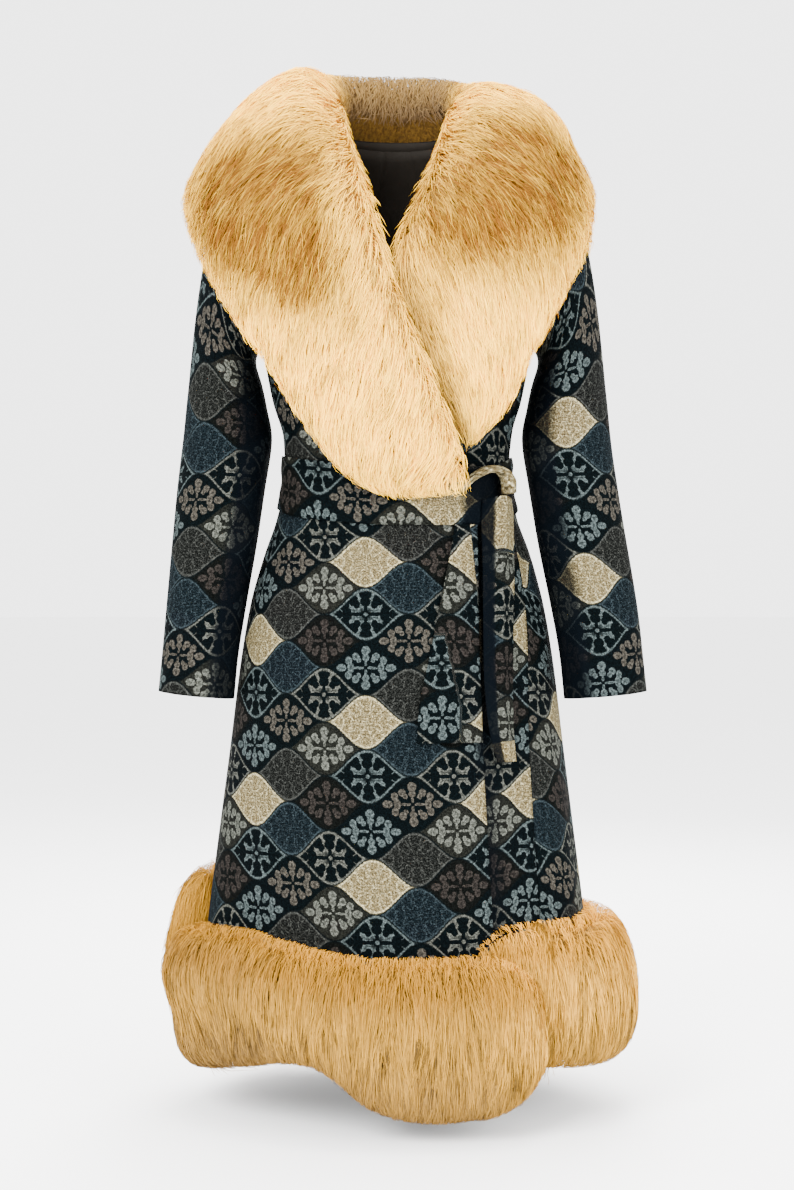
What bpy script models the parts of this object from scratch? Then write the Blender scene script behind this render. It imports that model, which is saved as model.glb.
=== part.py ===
"""A belted wrap coat of tapestry cloth with a long-haired fur shawl collar and fur hem.

Metres, +Z up, the front faces -Y and +X is the side of the wearer's left hand. The origin is the
middle of the neck opening, where the wearer's neck carries the coat. The cloth hangs hollow round
one base surface. Its level is the height of the ring at the side of the body, and its angle is 0
at the middle of the front, 90 at the wearer's left side and 180 at the middle of the back.
"""
from math import asin, cos, degrees, exp, pi, radians, sin

import bmesh
import bpy
from mathutils import Vector
from mathutils.bvhtree import BVHTree

COAT = "tapestry_coat"
WALL = 0.0022            # the tapestry cloth
SEAM = 0.00035           # each panel stops this far short of its seam
UNDER_STEP = 0.0055      # the under front lies this far inside the over front
LAP = 0.0009             # air between the sleeve head and the body below it

# Rings of the body. The drops lower the middle of the front and back where the shoulders slope.
# Columns: level, half_width, front_depth, back_depth, front_drop, back_drop.
RINGS = (
    (-1.240, 0.2660, 0.205, 0.205, 0.000, 0.000),
    (-1.080, 0.2510, 0.192, 0.192, 0.000, 0.000),
    (-0.980, 0.2400, 0.181, 0.181, 0.000, 0.000),
    (-0.880, 0.2275, 0.170, 0.170, 0.000, 0.000),
    (-0.780, 0.2150, 0.160, 0.160, 0.000, 0.000),
    (-0.680, 0.2030, 0.149, 0.151, 0.000, 0.000),
    (-0.600, 0.1895, 0.137, 0.140, 0.000, 0.000),
    (-0.540, 0.1725, 0.124, 0.124, 0.000, 0.000),
    (-0.490, 0.1555, 0.112, 0.107, 0.000, 0.000),
    (-0.440, 0.1455, 0.105, 0.098, 0.000, 0.000),
    (-0.390, 0.1470, 0.108, 0.100, 0.000, 0.000),
    (-0.340, 0.1610, 0.117, 0.106, 0.000, 0.000),
    (-0.300, 0.1690, 0.122, 0.111, 0.000, 0.000),
    (-0.265, 0.1750, 0.125, 0.115, 0.000, 0.000),
    (-0.210, 0.1770, 0.128, 0.119, -0.015, -0.012),
    (-0.150, 0.1820, 0.129, 0.122, -0.045, -0.030),
    (-0.090, 0.1890, 0.127, 0.122, -0.068, -0.048),
    (-0.045, 0.1930, 0.120, 0.118, -0.082, -0.056),
    (-0.022, 0.1400, 0.104, 0.108, -0.080, -0.036),
    (-0.004, 0.1000, 0.082, 0.090, -0.072, -0.016),
    (0.012, 0.0700, 0.058, 0.070, -0.060, 0.006),
)

# Angle of the over front's free edge: the V of the neck down to the belt, then the skirt.
# Columns: level, angle.
OVER_EDGE = (
    (-1.240, 29.0), (-1.030, 29.0), (-0.800, 29.5), (-0.600, 33.5), (-0.490, 39.0),
    (-0.440, 38.0), (-0.340, 23.5), (-0.265, 11.5), (-0.210, 6.0), (-0.150, 0.0),
    (-0.090, -6.0), (-0.045, -11.0), (-0.022, -21.0), (-0.004, -35.0), (0.012, -64.0),
)
UNDER_EDGE_LOWEST = -28.0
# Angle of the side seam on the wearer's left, which swings forward below the waist.
# Columns: level, angle.
LEFT_SEAM = (
    (-1.240, 46.0), (-0.800, 50.0), (-0.500, 66.0), (-0.440, 74.0), (-0.340, 86.0),
    (-0.265, 90.0), (0.012, 90.0),
)
RIGHT_SEAM_ANGLE = -90.0

ARMHOLE_LEVEL = -0.155
ARMHOLE_HALF_HEIGHT = 0.110
ARMHOLE_HALF_ANGLE = 31.0
ARMHOLE_STEPS = 8
SHOULDER_LEVELS = (0.012, -0.004, -0.022)
PANEL_COLUMNS = {"back": 20, "front_over": 12, "front_under": 10}
SKIRT_LEVELS = (-0.30, -0.34, -0.39, -0.44, -0.48, -0.52, -0.57, -0.63, -0.70, -0.78, -0.87,
                -0.96, -1.05, -1.12)

# Largest folds of the skirt: soft ridges and troughs that grow from a level to the hem.
# Columns: angle, half_angle, height, starts_at.
FOLDS = (
    (-70.0, 12.0, 0.006, -0.62),
    (-38.0, 14.0, -0.005, -0.70),
    (8.0, 16.0, 0.006, -0.66),
    (41.0, 8.0, -0.007, -0.52),
    (62.0, 11.0, 0.006, -0.58),
    (112.0, 13.0, -0.008, -0.56),
    (146.0, 13.0, 0.010, -0.60),
    (182.0, 14.0, -0.009, -0.54),
    (214.0, 12.0, 0.011, -0.64),
    (246.0, 13.0, -0.007, -0.58),
)

# Rings of a sleeve: its inner and outer edge seen from the front, and how deep it is.
# Columns: inner_x, inner_z, outer_x, outer_z, half_depth, middle_y.
SLEEVE = (
    (0.1780, -0.268, 0.1960, -0.042, 0.068, 0.000),
    (0.1815, -0.277, 0.2190, -0.060, 0.072, 0.000),
    (0.1835, -0.285, 0.2360, -0.098, 0.073, 0.000),
    (0.1825, -0.294, 0.2470, -0.148, 0.071, 0.000),
    (0.1790, -0.305, 0.2560, -0.208, 0.069, 0.000),
    (0.1745, -0.320, 0.2640, -0.270, 0.067, -0.001),
    (0.1685, -0.348, 0.2715, -0.332, 0.064, -0.002),
    (0.1620, -0.390, 0.2770, -0.388, 0.061, -0.004),
    (0.1710, -0.455, 0.2840, -0.450, 0.059, -0.008),
    (0.1810, -0.525, 0.2900, -0.520, 0.057, -0.014),
    (0.1935, -0.600, 0.2960, -0.595, 0.055, -0.022),
    (0.2030, -0.665, 0.3000, -0.658, 0.053, -0.036),
    (0.2080, -0.722, 0.3045, -0.712, 0.052, -0.044),
)
SLEEVE_SIDES = 14
HEAD_FADE = (1.0, 0.60, 0.30, 0.12)     # how far each ring still follows the armhole's shape
LEFT_CUFF_SWING = 0.014                 # the wearer's left sleeve hangs this much wider

# The collar's sections, from the middle of the back to the lapel's tip. Each is a fat pad: its
# root lies on the neck line, its crown is its highest part, its edge is its outermost part, and
# it tucks back to the cloth below the edge.
# Columns: x, y and z of the root, of the crown, of the edge and of the tuck.
COLLAR_BACK = (
    (0.0003, 0.060, 0.038, 0.0003, 0.118, 0.108, 0.0003, 0.215, -0.020, 0.0003, 0.188, -0.130),
    (0.034, 0.052, 0.038, 0.056, 0.106, 0.107, 0.118, 0.196, -0.022, 0.104, 0.172, -0.130),
    (0.056, 0.028, 0.038, 0.104, 0.062, 0.099, 0.205, 0.136, -0.032, 0.188, 0.124, -0.132),
    (0.063, -0.006, 0.034, 0.126, 0.000, 0.092, 0.260, 0.034, -0.050, 0.255, 0.034, -0.126),
)
LAPEL_OVER = (
    (0.060, -0.048, -0.004, 0.128, -0.070, 0.060, 0.269, -0.046, -0.082, 0.250, -0.060, -0.160),
    (0.032, -0.118, -0.092, 0.118, -0.172, -0.075, 0.246, -0.085, -0.160, 0.210, -0.085, -0.216),
    (0.014, -0.136, -0.158, 0.088, -0.190, -0.165, 0.202, -0.125, -0.238, 0.176, -0.112, -0.272),
    (-0.008, -0.143, -0.225, 0.052, -0.192, -0.242, 0.153, -0.142, -0.310, 0.132, -0.128, -0.336),
    (-0.035, -0.146, -0.295, 0.017, -0.186, -0.322, 0.111, -0.146, -0.376, 0.092, -0.128, -0.396),
    (-0.060, -0.142, -0.352, -0.018, -0.176, -0.384, 0.068, -0.142, -0.430, 0.052, -0.124, -0.446),
    (-0.080, -0.132, -0.408, -0.048, -0.158, -0.424, 0.018, -0.138, -0.457, 0.008, -0.124, -0.463),
    (-0.087, -0.122, -0.444, -0.068, -0.134, -0.447, -0.035, -0.128, -0.462, -0.040, -0.121, -0.462),
)
LAPEL_UNDER = (
    (0.056, -0.046, -0.004, 0.120, -0.068, 0.060, 0.251, -0.048, -0.078, 0.246, -0.060, -0.158),
    (0.028, -0.118, -0.086, 0.110, -0.172, -0.082, 0.240, -0.084, -0.160, 0.206, -0.082, -0.214),
    (0.000, -0.132, -0.146, 0.086, -0.180, -0.155, 0.205, -0.116, -0.230, 0.182, -0.104, -0.260),
    (-0.006, -0.136, -0.204, 0.082, -0.174, -0.212, 0.172, -0.124, -0.278, 0.152, -0.112, -0.302),
    (0.016, -0.132, -0.270, 0.084, -0.164, -0.268, 0.148, -0.122, -0.332, 0.132, -0.110, -0.350),
    (0.048, -0.124, -0.334, 0.086, -0.148, -0.326, 0.120, -0.116, -0.370, 0.112, -0.107, -0.380),
    (0.068, -0.116, -0.374, 0.086, -0.130, -0.370, 0.099, -0.114, -0.394, 0.095, -0.108, -0.397),
)
COLLAR_FULLNESS = 0.13
COLLAR_BETWEEN = 2        # sections lofted for each row of the table
COLLAR_CLEAR = 0.0045     # air between the fur's flat faces and the round panels below
BASE_STEPS = 6

# The hem fur by angle: its top and bottom level and how far the hair stands off the cloth.
# Columns: angle, top, bottom, proud.
HEM_OVER = (
    (-90.0, -1.022, -1.194, 0.046), (-75.0, -1.010, -1.189, 0.053), (-52.0, -1.006, -1.172, 0.056),
    (-34.0, -1.016, -1.164, 0.056), (-18.0, -1.026, -1.184, 0.056), (-5.0, -1.030, -1.210, 0.056),
    (10.0, -1.030, -1.222, 0.054), (22.0, -1.030, -1.218, 0.052), (30.0, -1.036, -1.204, 0.042),
    (36.0, -1.062, -1.176, 0.022),
)
HEM_UNDER = (
    (23.0, -1.020, -1.160, 0.009), (30.0, -1.004, -1.166, 0.013), (36.0, -0.998, -1.168, 0.020),
    (41.0, -0.996, -1.168, 0.030), (46.0, -0.996, -1.170, 0.042),
)
HEM_BACK = (
    (46.0, -0.996, -1.170, 0.042), (60.0, -0.996, -1.176, 0.052), (90.0, -0.994, -1.180, 0.056),
    (130.0, -0.990, -1.178, 0.056), (180.0, -0.985, -1.182, 0.058), (225.0, -0.965, -1.186, 0.058),
    (255.0, -0.940, -1.190, 0.054), (270.0, -0.950, -1.190, 0.050),
)
HEM_CLEAR = 0.0022
HEM_LEVEL = -1.17         # where the panels' bottom edges take their angles from
HEM_INSIDE = 0.024        # the cloth ends this far above its fur's lowest hair
FUR_SEAM = 0.15           # degrees left open between the strips
OVER_FUR_LIFT = 0.004     # air between the over strip's end and the under strip
HEM_PROFILE_STEPS = 9

# The belt's band by angle. Columns: angle, top, bottom.
BELT = ((-180.0, -0.408, -0.474), (-90.0, -0.410, -0.478), (-45.0, -0.420, -0.494),
        (0.0, -0.430, -0.503), (45.0, -0.428, -0.502), (90.0, -0.412, -0.480),
        (180.0, -0.408, -0.474))
BELT_CLEAR = 0.0024
BELT_WALL = 0.0026
BELT_COLUMNS = 36

# The loop over the band: a folded strap that rises over the top edge and falls outside the band.
# Columns: x, z, out, width, thickness.
KNOT = (
    (0.076, -0.462, 0.009, 0.008, 0.008),
    (0.088, -0.444, 0.013, 0.014, 0.010),
    (0.104, -0.432, 0.018, 0.020, 0.010),
    (0.120, -0.433, 0.021, 0.022, 0.010),
    (0.130, -0.446, 0.021, 0.022, 0.010),
    (0.1335, -0.466, 0.020, 0.020, 0.011),
)
# The tails: left edge, crest and right edge, each across the front and out from the skirt.
# Columns: z, left_x, left_out, crest_x, crest_out, right_x, right_out.
TAIL_SIDE = (
    (-0.471, 0.104, 0.0063, 0.118, 0.026, 0.138, 0.010),
    (-0.497, 0.103, 0.0063, 0.118, 0.027, 0.139, 0.010),
    (-0.560, 0.103, 0.009, 0.119, 0.024, 0.140, 0.010),
    (-0.620, 0.103, 0.009, 0.119, 0.022, 0.140, 0.009),
    (-0.700, 0.104, 0.009, 0.120, 0.020, 0.141, 0.009),
    (-0.760, 0.110, 0.009, 0.124, 0.018, 0.143, 0.009),
    (-0.797, 0.120, 0.009, 0.132, 0.014, 0.146, 0.010),
)
TAIL_FRONT = (
    (-0.508, 0.071, 0.0045, 0.084, 0.006, 0.098, 0.0045),
    (-0.555, 0.062, 0.0035, 0.082, 0.006, 0.099, 0.0035),
    (-0.610, 0.051, 0.0020, 0.078, 0.005, 0.100, 0.0020),
    (-0.665, 0.040, 0.0020, 0.074, 0.005, 0.101, 0.0020),
    (-0.725, 0.027, 0.0045, 0.066, 0.006, 0.102, 0.0045),
    (-0.772, 0.024, 0.0045, 0.064, 0.006, 0.103, 0.0045),
)
TAIL_WALL = 0.0030

LINING_LEVELS = (0.006, -0.010, -0.030, -0.060, -0.100, -0.150, -0.205, -0.265, -0.320)
LINING_ANGLES = (112.0, 248.0)
LINING_COLUMNS = 9
LINING_INSET = 0.0052
LINING_WALL = 0.0010

COLOURS = {
    "tapestry": ((0.035, 0.045, 0.055, 1.0), 0.85),
    "fur": ((0.80, 0.56, 0.30, 1.0), 0.90),
    "lining": ((0.014, 0.012, 0.010, 1.0), 0.45),
}


def clear_scene():
    for thing in list(bpy.data.objects):
        bpy.data.objects.remove(thing, do_unlink=True)


def read_row(rows, key):
    """The table's other columns at key, through a smooth curve that never overshoots."""
    keys = [row[0] for row in rows]
    key = min(max(key, keys[0]), keys[-1])
    last = len(rows) - 1
    i = min(sum(1 for k in keys[1:-1] if k <= key), last - 1)
    span = keys[i + 1] - keys[i]
    t = (key - keys[i]) / span
    found = []
    for column in range(1, len(rows[0])):
        slopes = [(rows[j + 1][column] - rows[j][column]) / (keys[j + 1] - keys[j])
                  for j in range(max(i - 1, 0), min(i + 1, last - 1) + 1)]
        middle = slopes[1 if i > 0 else 0]
        before = gentle(slopes[0], middle) if i > 0 else middle
        after = gentle(middle, slopes[-1]) if i < last - 1 else middle
        start, end = rows[i][column], rows[i + 1][column]
        found.append(start * (1 + 2 * t) * (1 - t) ** 2 + end * t * t * (3 - 2 * t)
                     + span * (before * t * (1 - t) ** 2 - after * t * t * (1 - t)))
    return found


def gentle(one, other):
    """A slope between two slopes, flat where they turn."""
    return 2 * one * other / (one + other) if one * other > 0 else 0.0


def ease(t):
    t = min(max(t, 0.0), 1.0)
    return t * t * (3 - 2 * t)


def fold_height(level, angle):
    """How far the skirt's folds stand out here."""
    total = 0.0
    for middle, half_angle, height, starts_at in FOLDS:
        away = (angle - middle + 180) % 360 - 180
        total += height * ease((starts_at - level) / 0.35) * exp(-(away / half_angle) ** 2)
    return total


def skin(level, angle):
    half_width, front, back, front_drop, back_drop = read_row(RINGS, level)
    across, ahead = sin(radians(angle)), cos(radians(angle))
    depth, drop = (front, front_drop) if ahead > 0 else (back, back_drop)
    fold = fold_height(level, angle)
    return Vector(((half_width + fold) * across, -(depth + fold) * ahead,
                   level + drop * ahead ** 2))


def body(level, angle, out=0.0):
    """A point on the coat's outer skin, or out from it along its normal."""
    step = 0.002
    level = min(max(level, RINGS[0][0] + step), RINGS[-1][0] - step)
    here = skin(level, angle)
    round_it = skin(level, angle + 0.5) - skin(level, angle - 0.5)
    up_it = skin(level + step, angle) - skin(level - step, angle)
    return here + round_it.cross(up_it).normalized() * out


def on_front(x, z, out):
    """A point of the skirt's front, by its place seen from the front."""
    half_width = read_row(RINGS, z)[0]
    return body(z, degrees(asin(x / half_width)), out)


def armhole_gap(level):
    """Half the armhole's opening angle at a level, nothing above and below it."""
    away = (level - ARMHOLE_LEVEL) / ARMHOLE_HALF_HEIGHT
    return ARMHOLE_HALF_ANGLE * max(1 - away * away, 0.0) ** 0.5


def over_edge(level):
    return read_row(OVER_EDGE, level)[0]


def under_edge(level):
    return max(-over_edge(level), UNDER_EDGE_LOWEST)


def left_seam(level):
    return read_row(LEFT_SEAM, level)[0]


def panel_levels():
    """The levels of a panel's rows. None stands for its hem, whose level runs with the fur."""
    armhole = [ARMHOLE_LEVEL + ARMHOLE_HALF_HEIGHT * cos(pi * i / ARMHOLE_STEPS)
               for i in range(ARMHOLE_STEPS + 1)]
    return list(SHOULDER_LEVELS) + armhole + list(SKIRT_LEVELS) + [None]


def panel(name, start, end, fur, out=None, seams=(True, True)):
    """A cloth panel between two edges, each an angle by level, down to just above its fur's end."""
    columns = PANEL_COLUMNS[name]
    rows = []
    for level in panel_levels():
        at = HEM_LEVEL if level is None else level
        row = []
        for i in range(columns + 1):
            angle = start(at) + (end(at) - start(at)) * i / columns
            here = read_row(fur, angle)[1] + HEM_INSIDE if level is None else level
            row.append(body(here, angle, out(at, angle) if out else 0.0))
        rows.append(seamed(row, *seams))
    return sheet(name, "tapestry", rows, WALL)


def material(name):
    found = bpy.data.materials.new(name)
    found.use_nodes = True
    shader = found.node_tree.nodes["Principled BSDF"]
    kind = next(kind for kind in COLOURS if name.startswith(kind))
    colour, roughness = COLOURS[kind]
    shader.inputs["Base Color"].default_value = colour
    shader.inputs["Roughness"].default_value = roughness
    shader.inputs["Metallic"].default_value = 0.0
    return found


def add_object(name, kind, points, faces):
    mesh = bpy.data.meshes.new(name)
    mesh.from_pydata([tuple(p) for p in points], [], faces)
    mesh.shade_smooth()
    mesh.materials.append(material(kind + "_" + name))
    thing = bpy.data.objects.new(name, mesh)
    bpy.data.collections[COAT].objects.link(thing)
    return thing


def sheet(name, kind, rows, wall, side=-1.0, ring=False):
    """An open grid of points thickened by Solidify: inwards with side -1, outwards with 1."""
    wide = len(rows[0])
    faces = []
    for i in range(len(rows) - 1):
        for j in range(wide if ring else wide - 1):
            k = (j + 1) % wide
            faces.append((i * wide + j, (i + 1) * wide + j, (i + 1) * wide + k, i * wide + k))
    thing = add_object(name, kind, [p for row in rows for p in row], faces)
    solid = thing.modifiers.new("Wall", "SOLIDIFY")
    solid.thickness = wall
    solid.offset = side
    return thing


def loft(name, kind, loops):
    """A closed solid through rings of points, with a point in the middle of each end."""
    wide = len(loops[0])
    points = [p for loop in loops for p in loop]
    faces = []
    for i in range(len(loops) - 1):
        for j in range(wide):
            k = (j + 1) % wide
            faces.append((i * wide + j, (i + 1) * wide + j, (i + 1) * wide + k, i * wide + k))
    for loop, start in ((loops[0], 0), (loops[-1], (len(loops) - 1) * wide)):
        points.append(sum(loop, Vector()) / wide)
        for j in range(wide):
            faces.append((start + j, start + (j + 1) % wide, len(points) - 1))
    thing = add_object(name, kind, points, faces)
    shape = bmesh.new()
    shape.from_mesh(thing.data)
    bmesh.ops.recalc_face_normals(shape, faces=shape.faces)
    shape.to_mesh(thing.data)
    shape.free()
    return thing


def seamed(row, first=True, last=True):
    """A row of points that stops just short of the seam at its ends."""
    row = [p.copy() for p in row]
    if first:
        row[0] += (row[1] - row[0]).normalized() * SEAM
    if last:
        row[-1] += (row[-2] - row[-1]).normalized() * SEAM
    return row


def build_back():
    return panel("back", lambda level: left_seam(level) + armhole_gap(level),
                 lambda level: 360.0 + RIGHT_SEAM_ANGLE - armhole_gap(level), HEM_BACK)


def build_front_over():
    return panel("front_over", lambda level: RIGHT_SEAM_ANGLE + armhole_gap(level), over_edge,
                 HEM_OVER, seams=(True, False))


def under_out(level, angle):
    """The under front sinks below the over front where that covers it, and a little past it."""
    return -UNDER_STEP * ease((over_edge(level) + 12.0 - angle) / 9.0)


def build_front_under():
    return panel("front_under", under_edge, lambda level: left_seam(level) - armhole_gap(level),
                 HEM_UNDER, under_out, seams=(False, True))


def sleeve_rings():
    """The rings of the wearer's left sleeve, each from its top through its front."""
    turns = [2 * pi * j / SLEEVE_SIDES for j in range(SLEEVE_SIDES)]
    rings = []
    for inner_x, inner_z, outer_x, outer_z, half_depth, middle_y in SLEEVE:
        inner = Vector((inner_x, middle_y, inner_z))
        outer = Vector((outer_x, middle_y, outer_z))
        centre, reach = (inner + outer) / 2, (outer - inner) / 2
        rings.append([centre + reach * cos(t) + Vector((0, -half_depth * sin(t), 0))
                      for t in turns])
    head = [body(ARMHOLE_LEVEL + (ARMHOLE_HALF_HEIGHT + 0.003) * cos(t),
                 90.0 - (ARMHOLE_HALF_ANGLE + 1.5) * sin(t), WALL + LAP) for t in turns]
    shift = [a - b for a, b in zip(head, rings[0])]
    for ring, fade in zip(rings, HEAD_FADE):
        for j in range(SLEEVE_SIDES):
            ring[j] += shift[j] * fade
    return rings


def build_sleeve(name, side, swing):
    """side is 1 for the wearer's left arm and -1 for the right."""
    rows = []
    for ring in sleeve_rings():
        row = []
        for p in ring:
            wider = swing * ease((-0.40 - p.z) / 0.25) * (p.x - 0.15) / 0.15
            row.append(Vector((side * (p.x + wider), p.y, p.z)))
        rows.append(row if side > 0 else list(reversed(row)))
    return sheet(name, "tapestry", rows, WALL, ring=True)


def tree_of(things):
    """One search tree over the evaluated faces of several objects."""
    reader = bpy.context.evaluated_depsgraph_get()
    points, faces = [], []
    for thing in things:
        mesh = thing.evaluated_get(reader).to_mesh()
        start = len(points)
        points += [v.co.copy() for v in mesh.vertices]
        faces += [tuple(start + i for i in f.vertices) for f in mesh.polygons]
        thing.evaluated_get(reader).to_mesh_clear()
    return BVHTree.FromPolygons(points, faces)


def away(point):
    """Which way is out from the coat: up on the shoulders and sideways below them."""
    up = ease((point.z + 0.14) / 0.15)
    return (Vector((point.x, point.y, 0)).normalized() * (1 - up) + Vector((0, 0, up))).normalized()


def sunk(point, below, reach):
    """How far a point must move out to clear what lies there. Below 0 it is in the clear."""
    out = away(point)
    hit = below.ray_cast(point + out * reach, -out, 2 * reach)[0]
    return -reach if hit is None else (hit - point).dot(out) + COLLAR_CLEAR


def lift_base(loops, below, base_from):
    """Moves out the base of each section until the flat faces between sections are clear too."""
    spots = list(range(base_from, len(loops[0]))) + [0]
    shares = [(s / 4, t / 4) for s in range(5) for t in range(5)]
    for _ in range(5):
        for i in range(len(loops) - 1):
            for one, other in zip(spots, spots[1:]):
                corners = ((i, one), (i, other), (i + 1, one), (i + 1, other))
                for s, t in shares:
                    weights = ((1 - s) * (1 - t), (1 - s) * t, s * (1 - t), s * t)
                    middle = sum((loops[a][b] * w for (a, b), w in zip(corners, weights)), Vector())
                    rise = sunk(middle, below, 0.05)
                    if rise > 0:
                        for (a, b), w in zip(corners, weights):
                            loops[a][b] = loops[a][b] + away(middle) * rise * min(2 * w, 1.0)


def through(points, steps):
    """Points on a smooth curve through the given points, steps to each stretch."""
    found = []
    for i in range(len(points) - 1):
        before = points[i - 1] if i > 0 else points[i] * 2 - points[i + 1]
        after = points[i + 2] if i + 2 < len(points) else points[i + 1] * 2 - points[i]
        a, b = points[i], points[i + 1]
        for k in range(steps):
            t = k / steps
            found.append(0.5 * (2 * a + (b - before) * t
                                + (2 * before - 5 * a + 4 * b - after) * t * t
                                + (3 * a - before - 3 * b + after) * t ** 3))
    return found + [points[-1]]


def build_collar(name, rows, side, below):
    """Half of the collar. Its back is the same on both sides, its lapel has its own rows."""
    table = list(COLLAR_BACK) + list(rows)
    tracks = [[Vector((side * row[c], row[c + 1], row[c + 2])) for row in table]
              for c in (0, 3, 6, 9)]
    sections = zip(*[through(track, COLLAR_BETWEEN) for track in tracks])
    loops = []
    for root, crown, edge, tuck in sections:
        base = []
        for k in range(1, BASE_STEPS):
            point = tuck.lerp(root, k / BASE_STEPS)
            rise = sunk(point, below, 0.08)
            base.append(point + away(point) * rise if rise > -0.05 else point)
        inner = root.lerp(crown, 0.45) + (root - tuck).normalized() * (crown - root).length * 0.16
        rising = through([root, inner, crown], 2)
        full = (crown.lerp(edge, 0.5) - tuck.lerp(root, 0.4)).normalized()
        shoulder = crown.lerp(edge, 0.5) + full * (edge - crown).length * COLLAR_FULLNESS
        falling = through([crown, shoulder, edge, tuck], 2)
        loops.append(rising[:-1] + falling + base)
    lift_base(loops, below, len(loops[0]) - BASE_STEPS)
    return loft(name, "fur", loops)


def hem_loop(angle, top, bottom, proud, base):
    """A section of the hem fur: flat against the cloth and round outside."""
    middle, half = (top + bottom) / 2, (top - bottom) / 2
    loop = []
    for k in range(HEM_PROFILE_STEPS + 1):
        turn = pi * k / HEM_PROFILE_STEPS
        loop.append(body(middle + half * cos(turn), angle, base + proud * sin(turn) ** 0.62))
    for k in (1, 2, 3):
        loop.append(body(bottom + (top - bottom) * k / 4, angle, base))
    return loop


def build_hem(name, rows, columns, lift=None):
    first, last = rows[0][0] + FUR_SEAM, rows[-1][0] - FUR_SEAM
    loops = []
    for i in range(columns + 1):
        angle = first + (last - first) * i / columns
        top, bottom, proud = read_row(rows, angle)
        base = HEM_CLEAR + (lift(angle) if lift else 0.0)
        loops.append(hem_loop(angle, top, bottom, proud, base))
    return loft(name, "fur", loops)


def over_lift(angle):
    """The over strip's end rests on the under strip."""
    under = read_row(HEM_UNDER, max(angle, HEM_UNDER[0][0]))[2]
    start = HEM_UNDER[0][0] - 6.0
    return (under + OVER_FUR_LIFT) * ease((angle - start) / 5.0)


def build_belt_band():
    rows = []
    for k in range(4):
        row = []
        for i in range(BELT_COLUMNS):
            angle = 360.0 * i / BELT_COLUMNS - 180.0
            top, bottom = read_row(BELT, angle)
            row.append(body(top + (bottom - top) * k / 3, angle, BELT_CLEAR))
        rows.append(row)
    return sheet("belt_band", "tapestry", rows, BELT_WALL, side=1.0, ring=True)


def build_belt_knot():
    """A soft strap bent over the band's top edge, with dark air below its arch."""
    loops = []
    rows = [Vector((x, 0, z)) for x, z, *_ in KNOT]
    for i, (x, z, out, width, thickness) in enumerate(KNOT):
        along = (rows[min(i + 1, len(rows) - 1)] - rows[max(i - 1, 0)]).normalized()
        across = Vector((-along.z, 0, along.x)) * thickness / 2
        loop = []
        for k in range(10):
            turn = 2 * pi * k / 10
            flat = rows[i] + across * cos(turn)
            loop.append(on_front(flat.x, flat.z, out + width / 2 * sin(turn) * 0.9))
        loops.append(loop)
    return loft("belt_knot", "tapestry", loops)


def build_tail(name, rows):
    """A hanging end of the belt, creased along its middle."""
    grid = []
    for z, left_x, left_out, crest_x, crest_out, right_x, right_out in rows:
        marks = ((left_x, left_out), ((left_x + crest_x) / 2, left_out * 0.45 + crest_out * 0.55),
                 (crest_x, crest_out), ((crest_x + right_x) / 2, crest_out * 0.55 + right_out * 0.45),
                 (right_x, right_out))
        grid.append([on_front(x, z, out) for x, out in marks])
    return sheet(name, "tapestry", grid, TAIL_WALL, side=0.0)


def build_lining():
    first, last = LINING_ANGLES
    rows = [[body(level, first + (last - first) * i / LINING_COLUMNS, -LINING_INSET)
             for i in range(LINING_COLUMNS + 1)] for level in LINING_LEVELS]
    return sheet("back_lining", "lining", rows, LINING_WALL)


def main():
    clear_scene()
    collection = bpy.data.collections.new(COAT)
    bpy.context.scene.collection.children.link(collection)
    cloth = [build_back(), build_front_over(), build_front_under(),
             build_sleeve("sleeve_left", 1, LEFT_CUFF_SWING),
             build_sleeve("sleeve_right", -1, 0.0)]
    cloth.append(build_belt_band())
    collar_under = build_collar("collar_under", LAPEL_UNDER, 1, tree_of(cloth))
    build_collar("collar_over", LAPEL_OVER, -1, tree_of(cloth + [collar_under]))
    build_hem("hem_fur_over", HEM_OVER, 15, over_lift)
    build_hem("hem_fur_under", HEM_UNDER, 4)
    build_hem("hem_fur_back", HEM_BACK, 20)
    build_belt_knot()
    build_tail("belt_tail_side", TAIL_SIDE)
    build_tail("belt_tail_front", TAIL_FRONT)
    build_lining()


main()
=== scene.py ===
"""Looks of the tapestry wrap coat: woven cloth, dark lining, long-haired fur collar and hem.

Metres, +Z up, the front faces -Y and +X is the side of the wearer's left hand. The sizes of the
cloth, collar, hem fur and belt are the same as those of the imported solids, and each piece here is
a finer form of the solid that it replaces.
"""
from math import pi

import bpy
import numpy as np
from bpy.props import FloatProperty, FloatVectorProperty, IntProperty, PointerProperty
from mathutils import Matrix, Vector
from mathutils.bvhtree import BVHTree
from mathutils.kdtree import KDTree


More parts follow.
